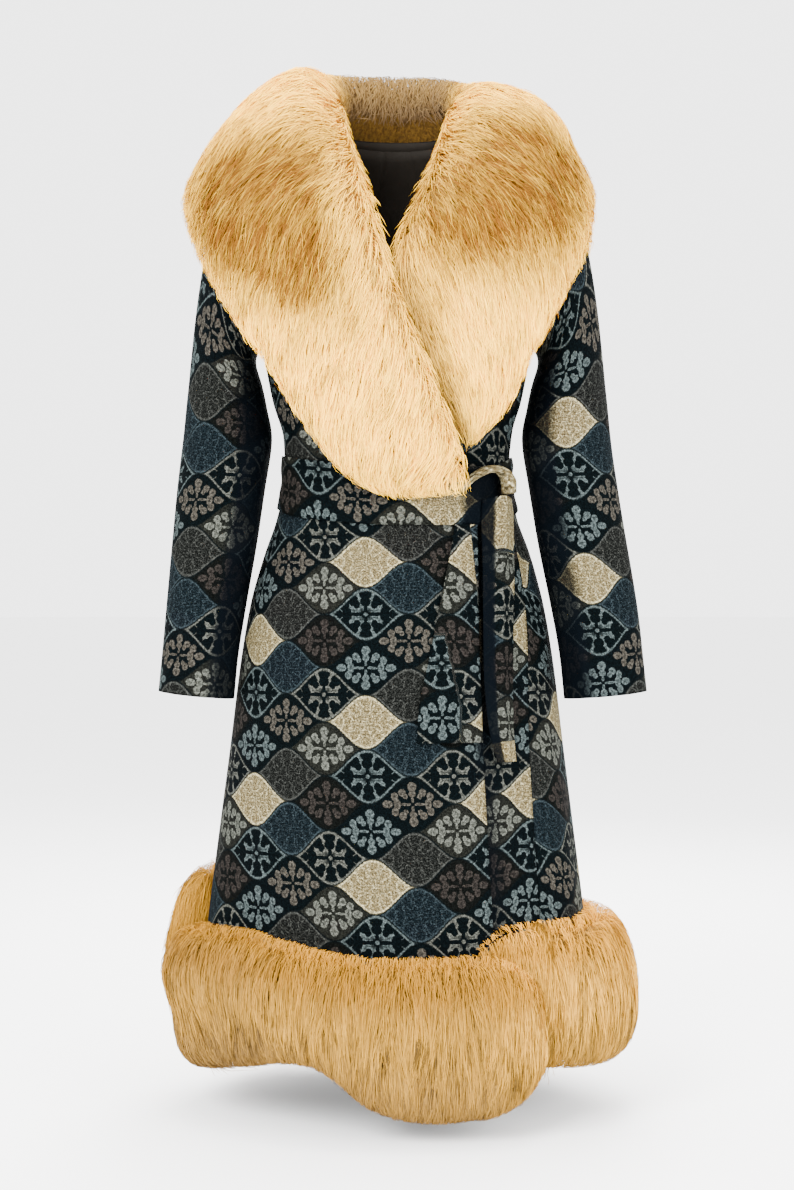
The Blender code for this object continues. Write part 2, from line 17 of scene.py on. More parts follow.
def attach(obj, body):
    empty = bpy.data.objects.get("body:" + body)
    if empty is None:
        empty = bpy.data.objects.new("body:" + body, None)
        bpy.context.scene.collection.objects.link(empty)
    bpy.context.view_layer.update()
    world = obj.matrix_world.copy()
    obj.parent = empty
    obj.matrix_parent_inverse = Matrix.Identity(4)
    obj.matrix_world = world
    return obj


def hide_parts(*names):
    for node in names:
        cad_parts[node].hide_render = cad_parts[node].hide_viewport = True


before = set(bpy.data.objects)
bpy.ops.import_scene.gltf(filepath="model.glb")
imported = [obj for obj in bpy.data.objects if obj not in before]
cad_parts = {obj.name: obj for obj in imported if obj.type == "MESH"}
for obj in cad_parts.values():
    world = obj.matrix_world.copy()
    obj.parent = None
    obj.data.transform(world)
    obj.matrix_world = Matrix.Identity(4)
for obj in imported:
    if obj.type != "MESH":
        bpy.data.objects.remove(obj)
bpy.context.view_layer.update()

bl_info = {
    "name": "Tapestry wrap coat",
    "version": (1, 0, 0),
    "blender": (4, 5, 0),
    "location": "3D View > Sidebar > Coat",
    "description": "Builds the cloth, lining, fur and belt of a tapestry wrap coat",
    "category": "Object",
}

# Sizes shared with the solids
# The cloth's thickness, the gap left at a seam, the lower front's step inward below the lap, and a
# sleeve head's distance off the cloth.
WALL = 0.0022
SEAM = 0.00035
UNDER_STEP = 0.0055
LAP = 0.0009

# Columns: level, half_width, front_depth, back_depth, front_drop, back_drop.
RINGS = (
    (-1.240, 0.2660, 0.205, 0.205, 0.000, 0.000),
    (-1.080, 0.2510, 0.192, 0.192, 0.000, 0.000),
    (-0.980, 0.2400, 0.181, 0.181, 0.000, 0.000),
    (-0.880, 0.2275, 0.170, 0.170, 0.000, 0.000),
    (-0.780, 0.2150, 0.160, 0.160, 0.000, 0.000),
    (-0.680, 0.2030, 0.149, 0.151, 0.000, 0.000),
    (-0.600, 0.1895, 0.137, 0.140, 0.000, 0.000),
    (-0.540, 0.1725, 0.124, 0.124, 0.000, 0.000),
    (-0.490, 0.1555, 0.112, 0.107, 0.000, 0.000),
    (-0.440, 0.1455, 0.105, 0.098, 0.000, 0.000),
    (-0.390, 0.1470, 0.108, 0.100, 0.000, 0.000),
    (-0.340, 0.1610, 0.117, 0.106, 0.000, 0.000),
    (-0.300, 0.1690, 0.122, 0.111, 0.000, 0.000),
    (-0.265, 0.1750, 0.125, 0.115, 0.000, 0.000),
    (-0.210, 0.1770, 0.128, 0.119, -0.015, -0.012),
    (-0.150, 0.1820, 0.129, 0.122, -0.045, -0.030),
    (-0.090, 0.1890, 0.127, 0.122, -0.068, -0.048),
    (-0.045, 0.1930, 0.120, 0.118, -0.082, -0.056),
    (-0.022, 0.1400, 0.104, 0.108, -0.080, -0.036),
    (-0.004, 0.1000, 0.082, 0.090, -0.072, -0.016),
    (0.012, 0.0700, 0.058, 0.070, -0.060, 0.006),
)
# Columns: level, angle.
OVER_EDGE = (
    (-1.240, 29.0), (-1.030, 29.0), (-0.800, 29.5), (-0.600, 33.5), (-0.490, 39.0),
    (-0.440, 38.0), (-0.340, 23.5), (-0.265, 11.5), (-0.210, 6.0), (-0.150, 0.0),
    (-0.090, -6.0), (-0.045, -11.0), (-0.022, -21.0), (-0.004, -35.0), (0.012, -64.0),
)
UNDER_EDGE_LOWEST = -28.0
# Columns: level, angle.
LEFT_SEAM = (
    (-1.240, 46.0), (-0.800, 50.0), (-0.500, 66.0), (-0.440, 74.0), (-0.340, 86.0),
    (-0.265, 90.0), (0.012, 90.0),
)
RIGHT_SEAM_ANGLE = -90.0
ARMHOLE_LEVEL = -0.155
ARMHOLE_HALF_HEIGHT = 0.110
ARMHOLE_HALF_ANGLE = 31.0
# Columns: angle, half_angle, height, starts_at.
FOLDS = (
    (-70.0, 12.0, 0.006, -0.62),
    (-38.0, 14.0, -0.005, -0.70),
    (8.0, 16.0, 0.006, -0.66),
    (41.0, 8.0, -0.007, -0.52),
    (62.0, 11.0, 0.006, -0.58),
    (112.0, 13.0, -0.008, -0.56),
    (146.0, 13.0, 0.010, -0.60),
    (182.0, 14.0, -0.009, -0.54),
    (214.0, 12.0, 0.011, -0.64),
    (246.0, 13.0, -0.007, -0.58),
)
# Columns: inner_x, inner_z, outer_x, outer_z, half_depth, middle_y.
SLEEVE = (
    (0.1780, -0.268, 0.1960, -0.042, 0.068, 0.000),
    (0.1815, -0.277, 0.2190, -0.060, 0.072, 0.000),
    (0.1835, -0.285, 0.2360, -0.098, 0.073, 0.000),
    (0.1825, -0.294, 0.2470, -0.148, 0.071, 0.000),
    (0.1790, -0.305, 0.2560, -0.208, 0.069, 0.000),
    (0.1745, -0.320, 0.2640, -0.270, 0.067, -0.001),
    (0.1685, -0.348, 0.2715, -0.332, 0.064, -0.002),
    (0.1620, -0.390, 0.2770, -0.388, 0.061, -0.004),
    (0.1710, -0.455, 0.2840, -0.450, 0.059, -0.008),
    (0.1810, -0.525, 0.2900, -0.520, 0.057, -0.014),
    (0.1935, -0.600, 0.2960, -0.595, 0.055, -0.022),
    (0.2030, -0.665, 0.3000, -0.658, 0.053, -0.036),
    (0.2080, -0.722, 0.3045, -0.712, 0.052, -0.044),
)
HEAD_FADE = (1.0, 0.60, 0.30, 0.12)
LEFT_CUFF_SWING = 0.014
# Columns: x, y and z of the root, of the crown, of the edge and of the tuck.
COLLAR_BACK = (
    (0.0003, 0.060, 0.038, 0.0003, 0.118, 0.108, 0.0003, 0.215, -0.020, 0.0003, 0.188, -0.130),
    (0.034, 0.052, 0.038, 0.056, 0.106, 0.107, 0.118, 0.196, -0.022, 0.104, 0.172, -0.130),
    (0.056, 0.028, 0.038, 0.104, 0.062, 0.099, 0.205, 0.136, -0.032, 0.188, 0.124, -0.132),
    (0.063, -0.006, 0.034, 0.126, 0.000, 0.092, 0.260, 0.034, -0.050, 0.255, 0.034, -0.126),
)
LAPEL_OVER = (
    (0.060, -0.048, -0.004, 0.128, -0.070, 0.060, 0.269, -0.046, -0.082, 0.250, -0.060, -0.160),
    (0.032, -0.118, -0.092, 0.118, -0.172, -0.075, 0.246, -0.085, -0.160, 0.210, -0.085, -0.216),
    (0.014, -0.136, -0.158, 0.088, -0.190, -0.165, 0.202, -0.125, -0.238, 0.176, -0.112, -0.272),
    (-0.008, -0.143, -0.225, 0.052, -0.192, -0.242, 0.153, -0.142, -0.310, 0.132, -0.128, -0.336),
    (-0.035, -0.146, -0.295, 0.017, -0.186, -0.322, 0.111, -0.146, -0.376, 0.092, -0.128, -0.396),
    (-0.060, -0.142, -0.352, -0.018, -0.176, -0.384, 0.068, -0.142, -0.430, 0.052, -0.124, -0.446),
    (-0.080, -0.132, -0.408, -0.048, -0.158, -0.424, 0.018, -0.138, -0.457, 0.008, -0.124, -0.463),
    (-0.087, -0.122, -0.444, -0.068, -0.134, -0.447, -0.035, -0.128, -0.462, -0.040, -0.121, -0.462),
)
LAPEL_UNDER = (
    (0.056, -0.046, -0.004, 0.120, -0.068, 0.060, 0.251, -0.048, -0.078, 0.246, -0.060, -0.158),
    (0.028, -0.118, -0.086, 0.110, -0.172, -0.082, 0.240, -0.084, -0.160, 0.206, -0.082, -0.214),
    (0.000, -0.132, -0.146, 0.086, -0.180, -0.155, 0.205, -0.116, -0.230, 0.182, -0.104, -0.260),
    (-0.006, -0.136, -0.204, 0.082, -0.174, -0.212, 0.172, -0.124, -0.278, 0.152, -0.112, -0.302),
    (0.016, -0.132, -0.270, 0.084, -0.164, -0.268, 0.148, -0.122, -0.332, 0.132, -0.110, -0.350),
    (0.048, -0.124, -0.334, 0.086, -0.148, -0.326, 0.120, -0.116, -0.370, 0.112, -0.107, -0.380),
    (0.068, -0.116, -0.374, 0.086, -0.130, -0.370, 0.099, -0.114, -0.394, 0.095, -0.108, -0.397),
)
COLLAR_FULLNESS = 0.13
# Columns: angle, top, bottom, proud.
HEM_OVER = (
    (-90.0, -1.022, -1.194, 0.046), (-75.0, -1.010, -1.189, 0.053), (-52.0, -1.006, -1.172, 0.056),
    (-34.0, -1.016, -1.164, 0.056), (-18.0, -1.026, -1.184, 0.056), (-5.0, -1.030, -1.210, 0.056),
    (10.0, -1.030, -1.222, 0.054), (22.0, -1.030, -1.218, 0.052), (30.0, -1.036, -1.204, 0.042),
    (36.0, -1.062, -1.176, 0.022),
)
HEM_UNDER = (
    (23.0, -1.020, -1.160, 0.009), (30.0, -1.004, -1.166, 0.013), (36.0, -0.998, -1.168, 0.020),
    (41.0, -0.996, -1.168, 0.030), (46.0, -0.996, -1.170, 0.042),
)
HEM_BACK = (
    (46.0, -0.996, -1.170, 0.042), (60.0, -0.996, -1.176, 0.052), (90.0, -0.994, -1.180, 0.056),
    (130.0, -0.990, -1.178, 0.056), (180.0, -0.985, -1.182, 0.058), (225.0, -0.965, -1.186, 0.058),
    (255.0, -0.940, -1.190, 0.054), (270.0, -0.950, -1.190, 0.050),
)
HEM_CLEAR = 0.0022
HEM_INSIDE = 0.024
# Columns: angle, top, bottom.
BELT = ((-180.0, -0.408, -0.474), (-90.0, -0.410, -0.478), (-45.0, -0.420, -0.494),
        (0.0, -0.430, -0.503), (45.0, -0.428, -0.502), (90.0, -0.412, -0.480),
        (180.0, -0.408, -0.474))
BELT_WALL = 0.0026
# Columns: x, z, out, width, thickness.
KNOT = (
    (0.076, -0.462, 0.009, 0.008, 0.008),
    (0.088, -0.444, 0.013, 0.014, 0.010),
    (0.104, -0.432, 0.018, 0.020, 0.010),
    (0.120, -0.433, 0.021, 0.022, 0.010),
    (0.130, -0.446, 0.021, 0.022, 0.010),
    (0.1335, -0.466, 0.020, 0.020, 0.011),
)
# Columns: z, left_x, left_out, crest_x, crest_out, right_x, right_out.
TAIL_SIDE = (
    (-0.471, 0.104, 0.0063, 0.118, 0.026, 0.138, 0.010),
    (-0.497, 0.103, 0.0063, 0.118, 0.027, 0.139, 0.010),
    (-0.560, 0.103, 0.009, 0.119, 0.024, 0.140, 0.010),
    (-0.620, 0.103, 0.009, 0.119, 0.022, 0.140, 0.009),
    (-0.700, 0.104, 0.009, 0.120, 0.020, 0.141, 0.009),
    (-0.760, 0.110, 0.009, 0.124, 0.018, 0.143, 0.009),
    (-0.797, 0.120, 0.009, 0.132, 0.014, 0.146, 0.010),
)
TAIL_FRONT = (
    (-0.508, 0.071, 0.0045, 0.084, 0.006, 0.098, 0.0045),
    (-0.555, 0.062, 0.0035, 0.082, 0.006, 0.099, 0.0035),
    (-0.610, 0.051, 0.0020, 0.078, 0.005, 0.100, 0.0020),
    (-0.665, 0.040, 0.0020, 0.074, 0.005, 0.101, 0.0020),
    (-0.725, 0.027, 0.0045, 0.066, 0.006, 0.102, 0.0045),
    (-0.772, 0.024, 0.0045, 0.064, 0.006, 0.103, 0.0045),
)
TAIL_WALL = 0.0030
LINING_TOP = 0.006
LINING_BOTTOM = -0.320
LINING_ANGLES = (112.0, 248.0)
LINING_INSET = 0.0052
LINING_WALL = 0.0010

# Soft creases of the body, each a line from one place to another on the cloth.
# Columns: level, angle, level, angle, half_width, height.
CREASES = (
    (-0.515, -74, -0.600, -78, 0.010, -0.0030),
    (-0.512, -52, -0.640, -56, 0.012, 0.0034),
    (-0.515, -34, -0.580, -37, 0.009, -0.0026),
    (-0.520, -18, -0.610, -20, 0.010, -0.0028),
    (-0.525, -3, -0.590, -4, 0.009, 0.0024),
    (-0.525, 20, -0.640, 18, 0.010, -0.0030),
    (-0.520, 31, -0.600, 29, 0.008, 0.0026),
    (-0.512, 49, -0.640, 44, 0.008, -0.0040),
    (-0.508, 58, -0.600, 54, 0.007, 0.0036),
    (-0.505, 70, -0.640, 64, 0.009, -0.0034),
    (-0.500, 96, -0.620, 99, 0.012, 0.0032),
    (-0.492, 126, -0.660, 130, 0.013, -0.0036),
    (-0.490, 152, -0.590, 150, 0.010, 0.0030),
    (-0.490, 171, -0.640, 170, 0.011, -0.0034),
    (-0.490, 195, -0.610, 198, 0.010, 0.0032),
    (-0.490, 221, -0.680, 226, 0.013, -0.0036),
    (-0.495, 247, -0.600, 244, 0.011, 0.0030),
    (-0.405, -70, -0.340, -66, 0.010, -0.0032),
    (-0.410, -56, -0.325, -50, 0.011, 0.0034),
    (-0.415, -42, -0.350, -38, 0.008, -0.0028),
    (-0.400, 66, -0.330, 60, 0.009, -0.0032),
    (-0.398, 82, -0.320, 76, 0.009, 0.0030),
    (-0.395, 122, -0.300, 130, 0.012, -0.0034),
    (-0.392, 150, -0.320, 152, 0.010, 0.0028),
    (-0.392, 176, -0.290, 178, 0.012, -0.0032),
    (-0.392, 205, -0.330, 202, 0.010, 0.0028),
    (-0.395, 234, -0.300, 226, 0.012, -0.0034),
    (-0.290, 110, -0.220, 132, 0.014, 0.0034),
    (-0.290, 250, -0.220, 228, 0.014, 0.0034),
)
# Soft creases of a sleeve. Columns: along, turn, along, turn, half_width, height. Along runs in
# metres down the sleeve and turn in radians round it, from its top through its front.
SLEEVE_CREASES = (
    (0.14, 2.3, 0.20, 1.5, 0.014, -0.0042),
    (0.22, 2.8, 0.27, 1.7, 0.012, 0.0036),
    (0.27, 2.6, 0.33, 1.2, 0.013, -0.0050),
    (0.33, 2.9, 0.37, 1.8, 0.010, 0.0034),
    (0.38, 2.5, 0.45, 1.3, 0.014, -0.0040),
    (0.48, 0.9, 0.60, 1.2, 0.013, 0.0034),
    (0.50, 2.2, 0.61, 2.0, 0.011, -0.0032),
    (0.18, 4.4, 0.26, 5.2, 0.015, -0.0042),
    (0.30, 3.9, 0.36, 5.0, 0.013, 0.0038),
    (0.37, 3.7, 0.45, 4.9, 0.013, -0.0042),
    (0.50, 4.7, 0.62, 4.5, 0.014, 0.0034),
    (0.05, 0.5, 0.16, 0.3, 0.016, -0.0030),
)

# Colours that are left in hair and in cloth where little light reaches.
DEEP_HAIR = (0.078, 0.050, 0.0270)
DEEP_CLOTH = (0.0006, 0.0012, 0.0020)
# Colours of the skin below the collar's hair and the hem's, light and dark: the fur's own colours,
# kept darker than its tips as painted shade deep in the fur.
COLLAR_PAD = ((0.40, 0.21, 0.040), (0.20, 0.105, 0.026))
HEM_PAD = ((0.17, 0.086, 0.014), (0.080, 0.042, 0.010))
# Distance between the threads, across the cloth and down it.
WARP_SPACING = 0.0017
WEFT_SPACING = 0.0013

# Cells of the woven lattice, six columns of three. Each is speckled, a leaf rosette, or a dark
# rosette inside an outline, with its ground and its figure.
SPECKLED, ROSETTE, OUTLINED = 0.0, 0.5, 1.0
BLACK = (0.0005, 0.0013, 0.0016)
NAVY = (0.0007, 0.0018, 0.0026)
DIM_BLUE = (0.0110, 0.0160, 0.0185)
BLUE_GREY = (0.031, 0.040, 0.040)
PALE_GREY = (0.040, 0.042, 0.036)
CREAM = (0.205, 0.180, 0.103)
BEIGE = (0.062, 0.046, 0.0200)
TAN = (0.029, 0.0265, 0.0215)
UMBER = (0.0014, 0.0017, 0.0015)
BROWN = (0.0195, 0.0205, 0.0185)
MAUVE = (0.0120, 0.0103, 0.0091)
STONE = (0.048, 0.051, 0.043)
MOSS = (0.0050, 0.0054, 0.0044)
CELLS = (
    (SPECKLED, BEIGE, CREAM), (OUTLINED, BLACK, BLUE_GREY), (ROSETTE, BLACK, BLUE_GREY),
    (SPECKLED, UMBER, BROWN), (SPECKLED, NAVY, DIM_BLUE), (ROSETTE, BLACK, TAN),
    (ROSETTE, UMBER, MAUVE), (OUTLINED, BLACK, PALE_GREY), (ROSETTE, MOSS, STONE),
    (OUTLINED, BLACK, BLUE_GREY), (ROSETTE, BLACK, BLUE_GREY), (SPECKLED, BEIGE, CREAM),
    (ROSETTE, BLACK, TAN), (SPECKLED, UMBER, BROWN), (SPECKLED, NAVY, DIM_BLUE),
    (OUTLINED, BLACK, PALE_GREY), (ROSETTE, MOSS, STONE), (ROSETTE, UMBER, MAUVE),
)
# Places of the two beige cells, and of the navy cell that can stand for them.
BEIGE_CELLS = (0.0, 11.0)
NAVY_CELL = 4.0
# Lobes of a rosette's quarter, in metres from its middle: x, y, half_width, half_height.
LOBES = (
    (0.0000, 0.0250, 0.0068, 0.0072),
    (0.0000, 0.0148, 0.0056, 0.0052),
    (0.0000, 0.0065, 0.0020, 0.0060),
    (0.0148, 0.0165, 0.0056, 0.0060),
    (0.0103, 0.0112, 0.0036, 0.0042),
    (0.0254, 0.0108, 0.0054, 0.0064),
    (0.0222, 0.0015, 0.0050, 0.0062),
    (0.0358, 0.0000, 0.0080, 0.0058),
    (0.0100, 0.0000, 0.0090, 0.0021),
)


# Shapes
def read_rows(rows, keys):
    """The table's other columns at each key, through a smooth curve that never overshoots."""
    table = np.array(rows, float)
    at, values = table[:, 0], table[:, 1:]
    keys = np.clip(np.asarray(keys, float), at[0], at[-1])
    i = np.clip(np.searchsorted(at, keys, side="right") - 1, 0, len(at) - 2)
    slopes = np.diff(values, axis=0) / np.diff(at)[:, None]
    bends = np.zeros_like(values)
    bends[0], bends[-1] = slopes[0], slopes[-1]
    product = slopes[:-1] * slopes[1:]
    total = slopes[:-1] + slopes[1:]
    bends[1:-1] = np.where(product > 0, 2 * product / np.where(total == 0, 1, total), 0)
    span = (at[i + 1] - at[i])[..., None]
    t = (keys - at[i])[..., None] / span
    return (values[i] * (1 + 2 * t) * (1 - t) ** 2 + values[i + 1] * t * t * (3 - 2 * t)
            + span * (bends[i] * t * (1 - t) ** 2 - bends[i + 1] * t * t * (1 - t)))


def ease(t):
    t = np.clip(t, 0.0, 1.0)
    return t * t * (3 - 2 * t)


def unit(v):
    return v / np.maximum(np.linalg.norm(v, axis=-1, keepdims=True), 1e-9)


def skin(level, angle):
    """The coat's outer skin, as the solids have it."""
    ring = read_rows(RINGS, level)
    across, ahead = np.sin(np.radians(angle)), np.cos(np.radians(angle))
    fold = 0.0
    for middle, half_angle, height, starts_at in FOLDS:
        away = (angle - middle + 180) % 360 - 180
        fold = fold + height * ease((starts_at - level) / 0.35) * np.exp(-(away / half_angle) ** 2)
    front = ahead > 0
    depth = np.where(front, ring[..., 1], ring[..., 2])
    drop = np.where(front, ring[..., 3], ring[..., 4])
    return np.stack(((ring[..., 0] + fold) * across, -(depth + fold) * ahead,
                     level + drop * ahead ** 2), -1)


def skin_normal(level, angle):
    step = 0.002
    level = np.clip(level, RINGS[0][0] + step, RINGS[-1][0] - step)
    round_it = skin(level, angle + 0.5) - skin(level, angle - 0.5)
    up_it = skin(level + step, angle) - skin(level - step, angle)
    return unit(np.cross(round_it, up_it))


def body(level, angle, out=0.0):
    """A point on the coat's outer skin, or out from it along its normal."""
    level, angle = np.broadcast_arrays(np.asarray(level, float), np.asarray(angle, float))
    level = np.clip(level, RINGS[0][0] + 0.002, RINGS[-1][0] - 0.002)
    return skin(level, angle) + skin_normal(level, angle) * np.asarray(out, float)[..., None]


def on_front(x, z, out):
    """A point of the skirt's front, by its place seen from the front."""
    half_width = read_rows(RINGS, z)[..., 0]
    return body(z, np.degrees(np.arcsin(x / half_width)), out)


def armhole_gap(level):
    away = (level - ARMHOLE_LEVEL) / ARMHOLE_HALF_HEIGHT
    return ARMHOLE_HALF_ANGLE * np.maximum(1 - away * away, 0.0) ** 0.5


def over_edge(level):
    return read_rows(OVER_EDGE, level)[..., 0]


def left_seam(level):
    return read_rows(LEFT_SEAM, level)[..., 0]


def segment_relief(across, along, rows):
    """Soft ridges and troughs along straight lines, in metres on the cloth."""
    total = np.zeros_like(across)
    for x0, y0, x1, y1, half_width, height in rows:
        dx, dy = x1 - x0, y1 - y0
        t = np.clip(((across - x0) * dx + (along - y0) * dy) / (dx * dx + dy * dy), 0, 1)
        off = np.hypot(across - x0 - t * dx, along - y0 - t * dy)
        swell = 0.35 + 0.65 * np.sin(pi * np.clip(t * 0.9 + 0.1, 0, 1))
        total += height * swell * np.exp(-(off / half_width) ** 2)
    return total


def crease_height(level, angle):
    """How far the small creases of the body stand out here."""
    metre = 0.0031
    total = np.zeros_like(level)
    for level0, angle0, level1, angle1, half_width, height in CREASES:
        turn = (angle - angle0 + 180) % 360 - 180
        line = ((0.0, level0, (angle1 - angle0) * metre, level1, half_width, height),)
        total += segment_relief(turn * metre, level, line)
    return total


def through(points, steps):
    """Points on a smooth curve through rows of points, steps to each stretch."""
    points = np.asarray(points, float)
    before = np.concatenate((2 * points[:1] - points[1:2], points[:-2]))
    after = np.concatenate((points[2:], 2 * points[-1:] - points[-2:-1]))
    a, b = points[:-1], points[1:]
    found = []
    for i in range(len(a)):
        for k in range(steps):
            t = k / steps
            found.append(0.5 * (2 * a[i] + (b[i] - before[i]) * t
                                + (2 * before[i] - 5 * a[i] + 4 * b[i] - after[i]) * t * t
                                + (3 * a[i] - before[i] - 3 * b[i] + after[i]) * t ** 3))
    found.append(points[-1])
    return np.array(found)


# Meshes
CLOTH_MAP = "Cloth"


def make_mesh(name, points, corners, sizes, uv=None):
    mesh = bpy.data.meshes.new(name)
    mesh.vertices.add(len(points))
    mesh.vertices.foreach_set("co", np.asarray(points, np.float32).ravel())
    mesh.loops.add(len(corners))
    mesh.loops.foreach_set("vertex_index", np.asarray(corners, np.int32))
    mesh.polygons.add(len(sizes))
    starts = np.concatenate(([0], np.cumsum(sizes)[:-1])).astype(np.int32)
    mesh.polygons.foreach_set("loop_start", starts)
    mesh.update(calc_edges=True)
    mesh.shade_smooth()
    if uv is not None:
        layer = mesh.uv_layers.new(name=CLOTH_MAP)
        layer.uv.foreach_set("vector", np.asarray(uv, np.float32)[corners].ravel())
    thing = bpy.data.objects.new(name, mesh)
    bpy.context.scene.collection.objects.link(thing)
    return thing


def grid_normals(points, ring):
    """Outward normals of a grid whose rows run down and whose columns run round."""
    if ring:
        across = np.roll(points, -1, 1) - np.roll(points, 1, 1)
    else:
        across = np.gradient(points, axis=1)
    down = np.gradient(points, axis=0)
    return unit(np.cross(down, across))


def cloth(name, points, uv, wall, materials, ring=False, outward=0.0, shade=None):
    """A sheet with an outside, an inside and rims. outward is the wall's share outside points."""
    rows, wide = points.shape[:2]
    normals = grid_normals(points, ring)
    outer = points + normals * wall * outward
    inner = points - normals * wall * (1 - outward)
    total = rows * wide
    verts = np.concatenate((outer.reshape(-1, 3), inner.reshape(-1, 3)))
    index = np.arange(total).reshape(rows, wide)
    nxt = np.roll(index, -1, 1) if ring else index[:, 1:]
    here = index if ring else index[:, :-1]
    quads = np.stack((here[:-1], here[1:], nxt[1:], nxt[:-1]), -1).reshape(-1, 4)
    inside = quads[:, ::-1] + total
    rims = []
    top, bottom = index[0], index[-1]
    pairs = [(top, True), (bottom, False)]
    if not ring:
        pairs += [(index[:, 0], False), (index[:, -1], True)]
    for line, flip in pairs:
        a, b = line, np.roll(line, -1)
        if not ring or line is index[:, 0]:
            a, b = a[:-1], b[:-1]
        rim = np.stack((a, b, b + total, a + total), -1)
        rims.append(rim[:, ::-1] if not flip else rim)
    rims = np.concatenate(rims)
    faces = np.concatenate((quads, inside, rims))
    doubled = np.concatenate((uv.reshape(-1, 2), uv.reshape(-1, 2)))
    thing = make_mesh(name, verts, faces.ravel(), np.full(len(faces), 4), doubled)
    if ring:
        mend_ring_uv(thing, uv)
    # Painted shade for each point, the same on the outside and the inside.
    dark = np.zeros((rows, wide)) if shade is None else np.broadcast_to(shade, (rows, wide))
    layer = thing.data.attributes.new("shade", "FLOAT", "POINT")
    layer.data.foreach_set("value", np.concatenate((dark.ravel(), dark.ravel())).astype(np.float32))
    for one in materials:
        thing.data.materials.append(one)
    slots = np.zeros(len(faces), np.int32)
    if len(materials) > 1:
        slots[len(quads):len(quads) + len(inside)] = 1
    thing.data.polygons.foreach_set("material_index", slots)
    return thing


def mend_ring_uv(thing, uv):
    """Gives the faces that close a ring the map's far side instead of its start."""
    mesh = thing.data
    layer = mesh.uv_layers[0]
    values = np.zeros(len(mesh.loops) * 2, np.float32)
    layer.uv.foreach_get("vector", values)
    values = values.reshape(-1, 4, 2)
    girth = float(np.mean(uv[:, 1, 0] - uv[:, 0, 0]) * uv.shape[1])
    spread = values[:, :, 0].max(1) - values[:, :, 0].min(1)
    for k in range(4):
        low = (spread > abs(girth) * 0.5) & (values[:, k, 0] < values[:, :, 0].mean(1))
        values[low, k, 0] += abs(girth)
    layer.uv.foreach_set("vector", values.ravel())


def finish_piece(thing, slot, *nodes):
    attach(thing, "root")
    if nodes:
        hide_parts(*nodes)


# Places on the woven cloth
ARC_LEVELS = np.linspace(-1.238, 0.010, 180)
ARC_ANGLES = np.linspace(-180.0, 360.0, 1081)


def arc_table():
    """Metres round the coat from the middle of the front, by level and angle."""
    level, angle = np.meshgrid(ARC_LEVELS, ARC_ANGLES, indexing="ij")
    points = skin(level, angle)
    steps = np.linalg.norm(np.diff(points, axis=1), axis=2)
    arcs = np.concatenate((np.zeros((len(ARC_LEVELS), 1)), np.cumsum(steps, 1)), 1)
    return arcs - arcs[:, [int(np.argmin(abs(ARC_ANGLES)))]]


ARCS = arc_table()


def arc(level, angle):
    i = np.interp(level, ARC_LEVELS, np.arange(len(ARC_LEVELS)))
    j = np.interp(angle, ARC_ANGLES, np.arange(len(ARC_ANGLES)))
    i0 = np.minimum(i.astype(int), len(ARC_LEVELS) - 2)
    j0 = np.minimum(j.astype(int), len(ARC_ANGLES) - 2)
    s, t = i - i0, j - j0
    return ((ARCS[i0, j0] * (1 - t) + ARCS[i0, j0 + 1] * t) * (1 - s)
            + (ARCS[i0 + 1, j0] * (1 - t) + ARCS[i0 + 1, j0 + 1] * t) * s)


def drop_along(level):
    """Metres down the cloth from the waist, along its side."""
    levels = np.linspace(-1.238, 0.010, 400)
    points = skin(levels, np.full_like(levels, 60.0))
    steps = np.concatenate(([0], np.cumsum(np.linalg.norm(np.diff(points, axis=0), axis=1))))
    steps -= np.interp(-0.549, levels, steps)
    return -np.interp(level, levels, steps)


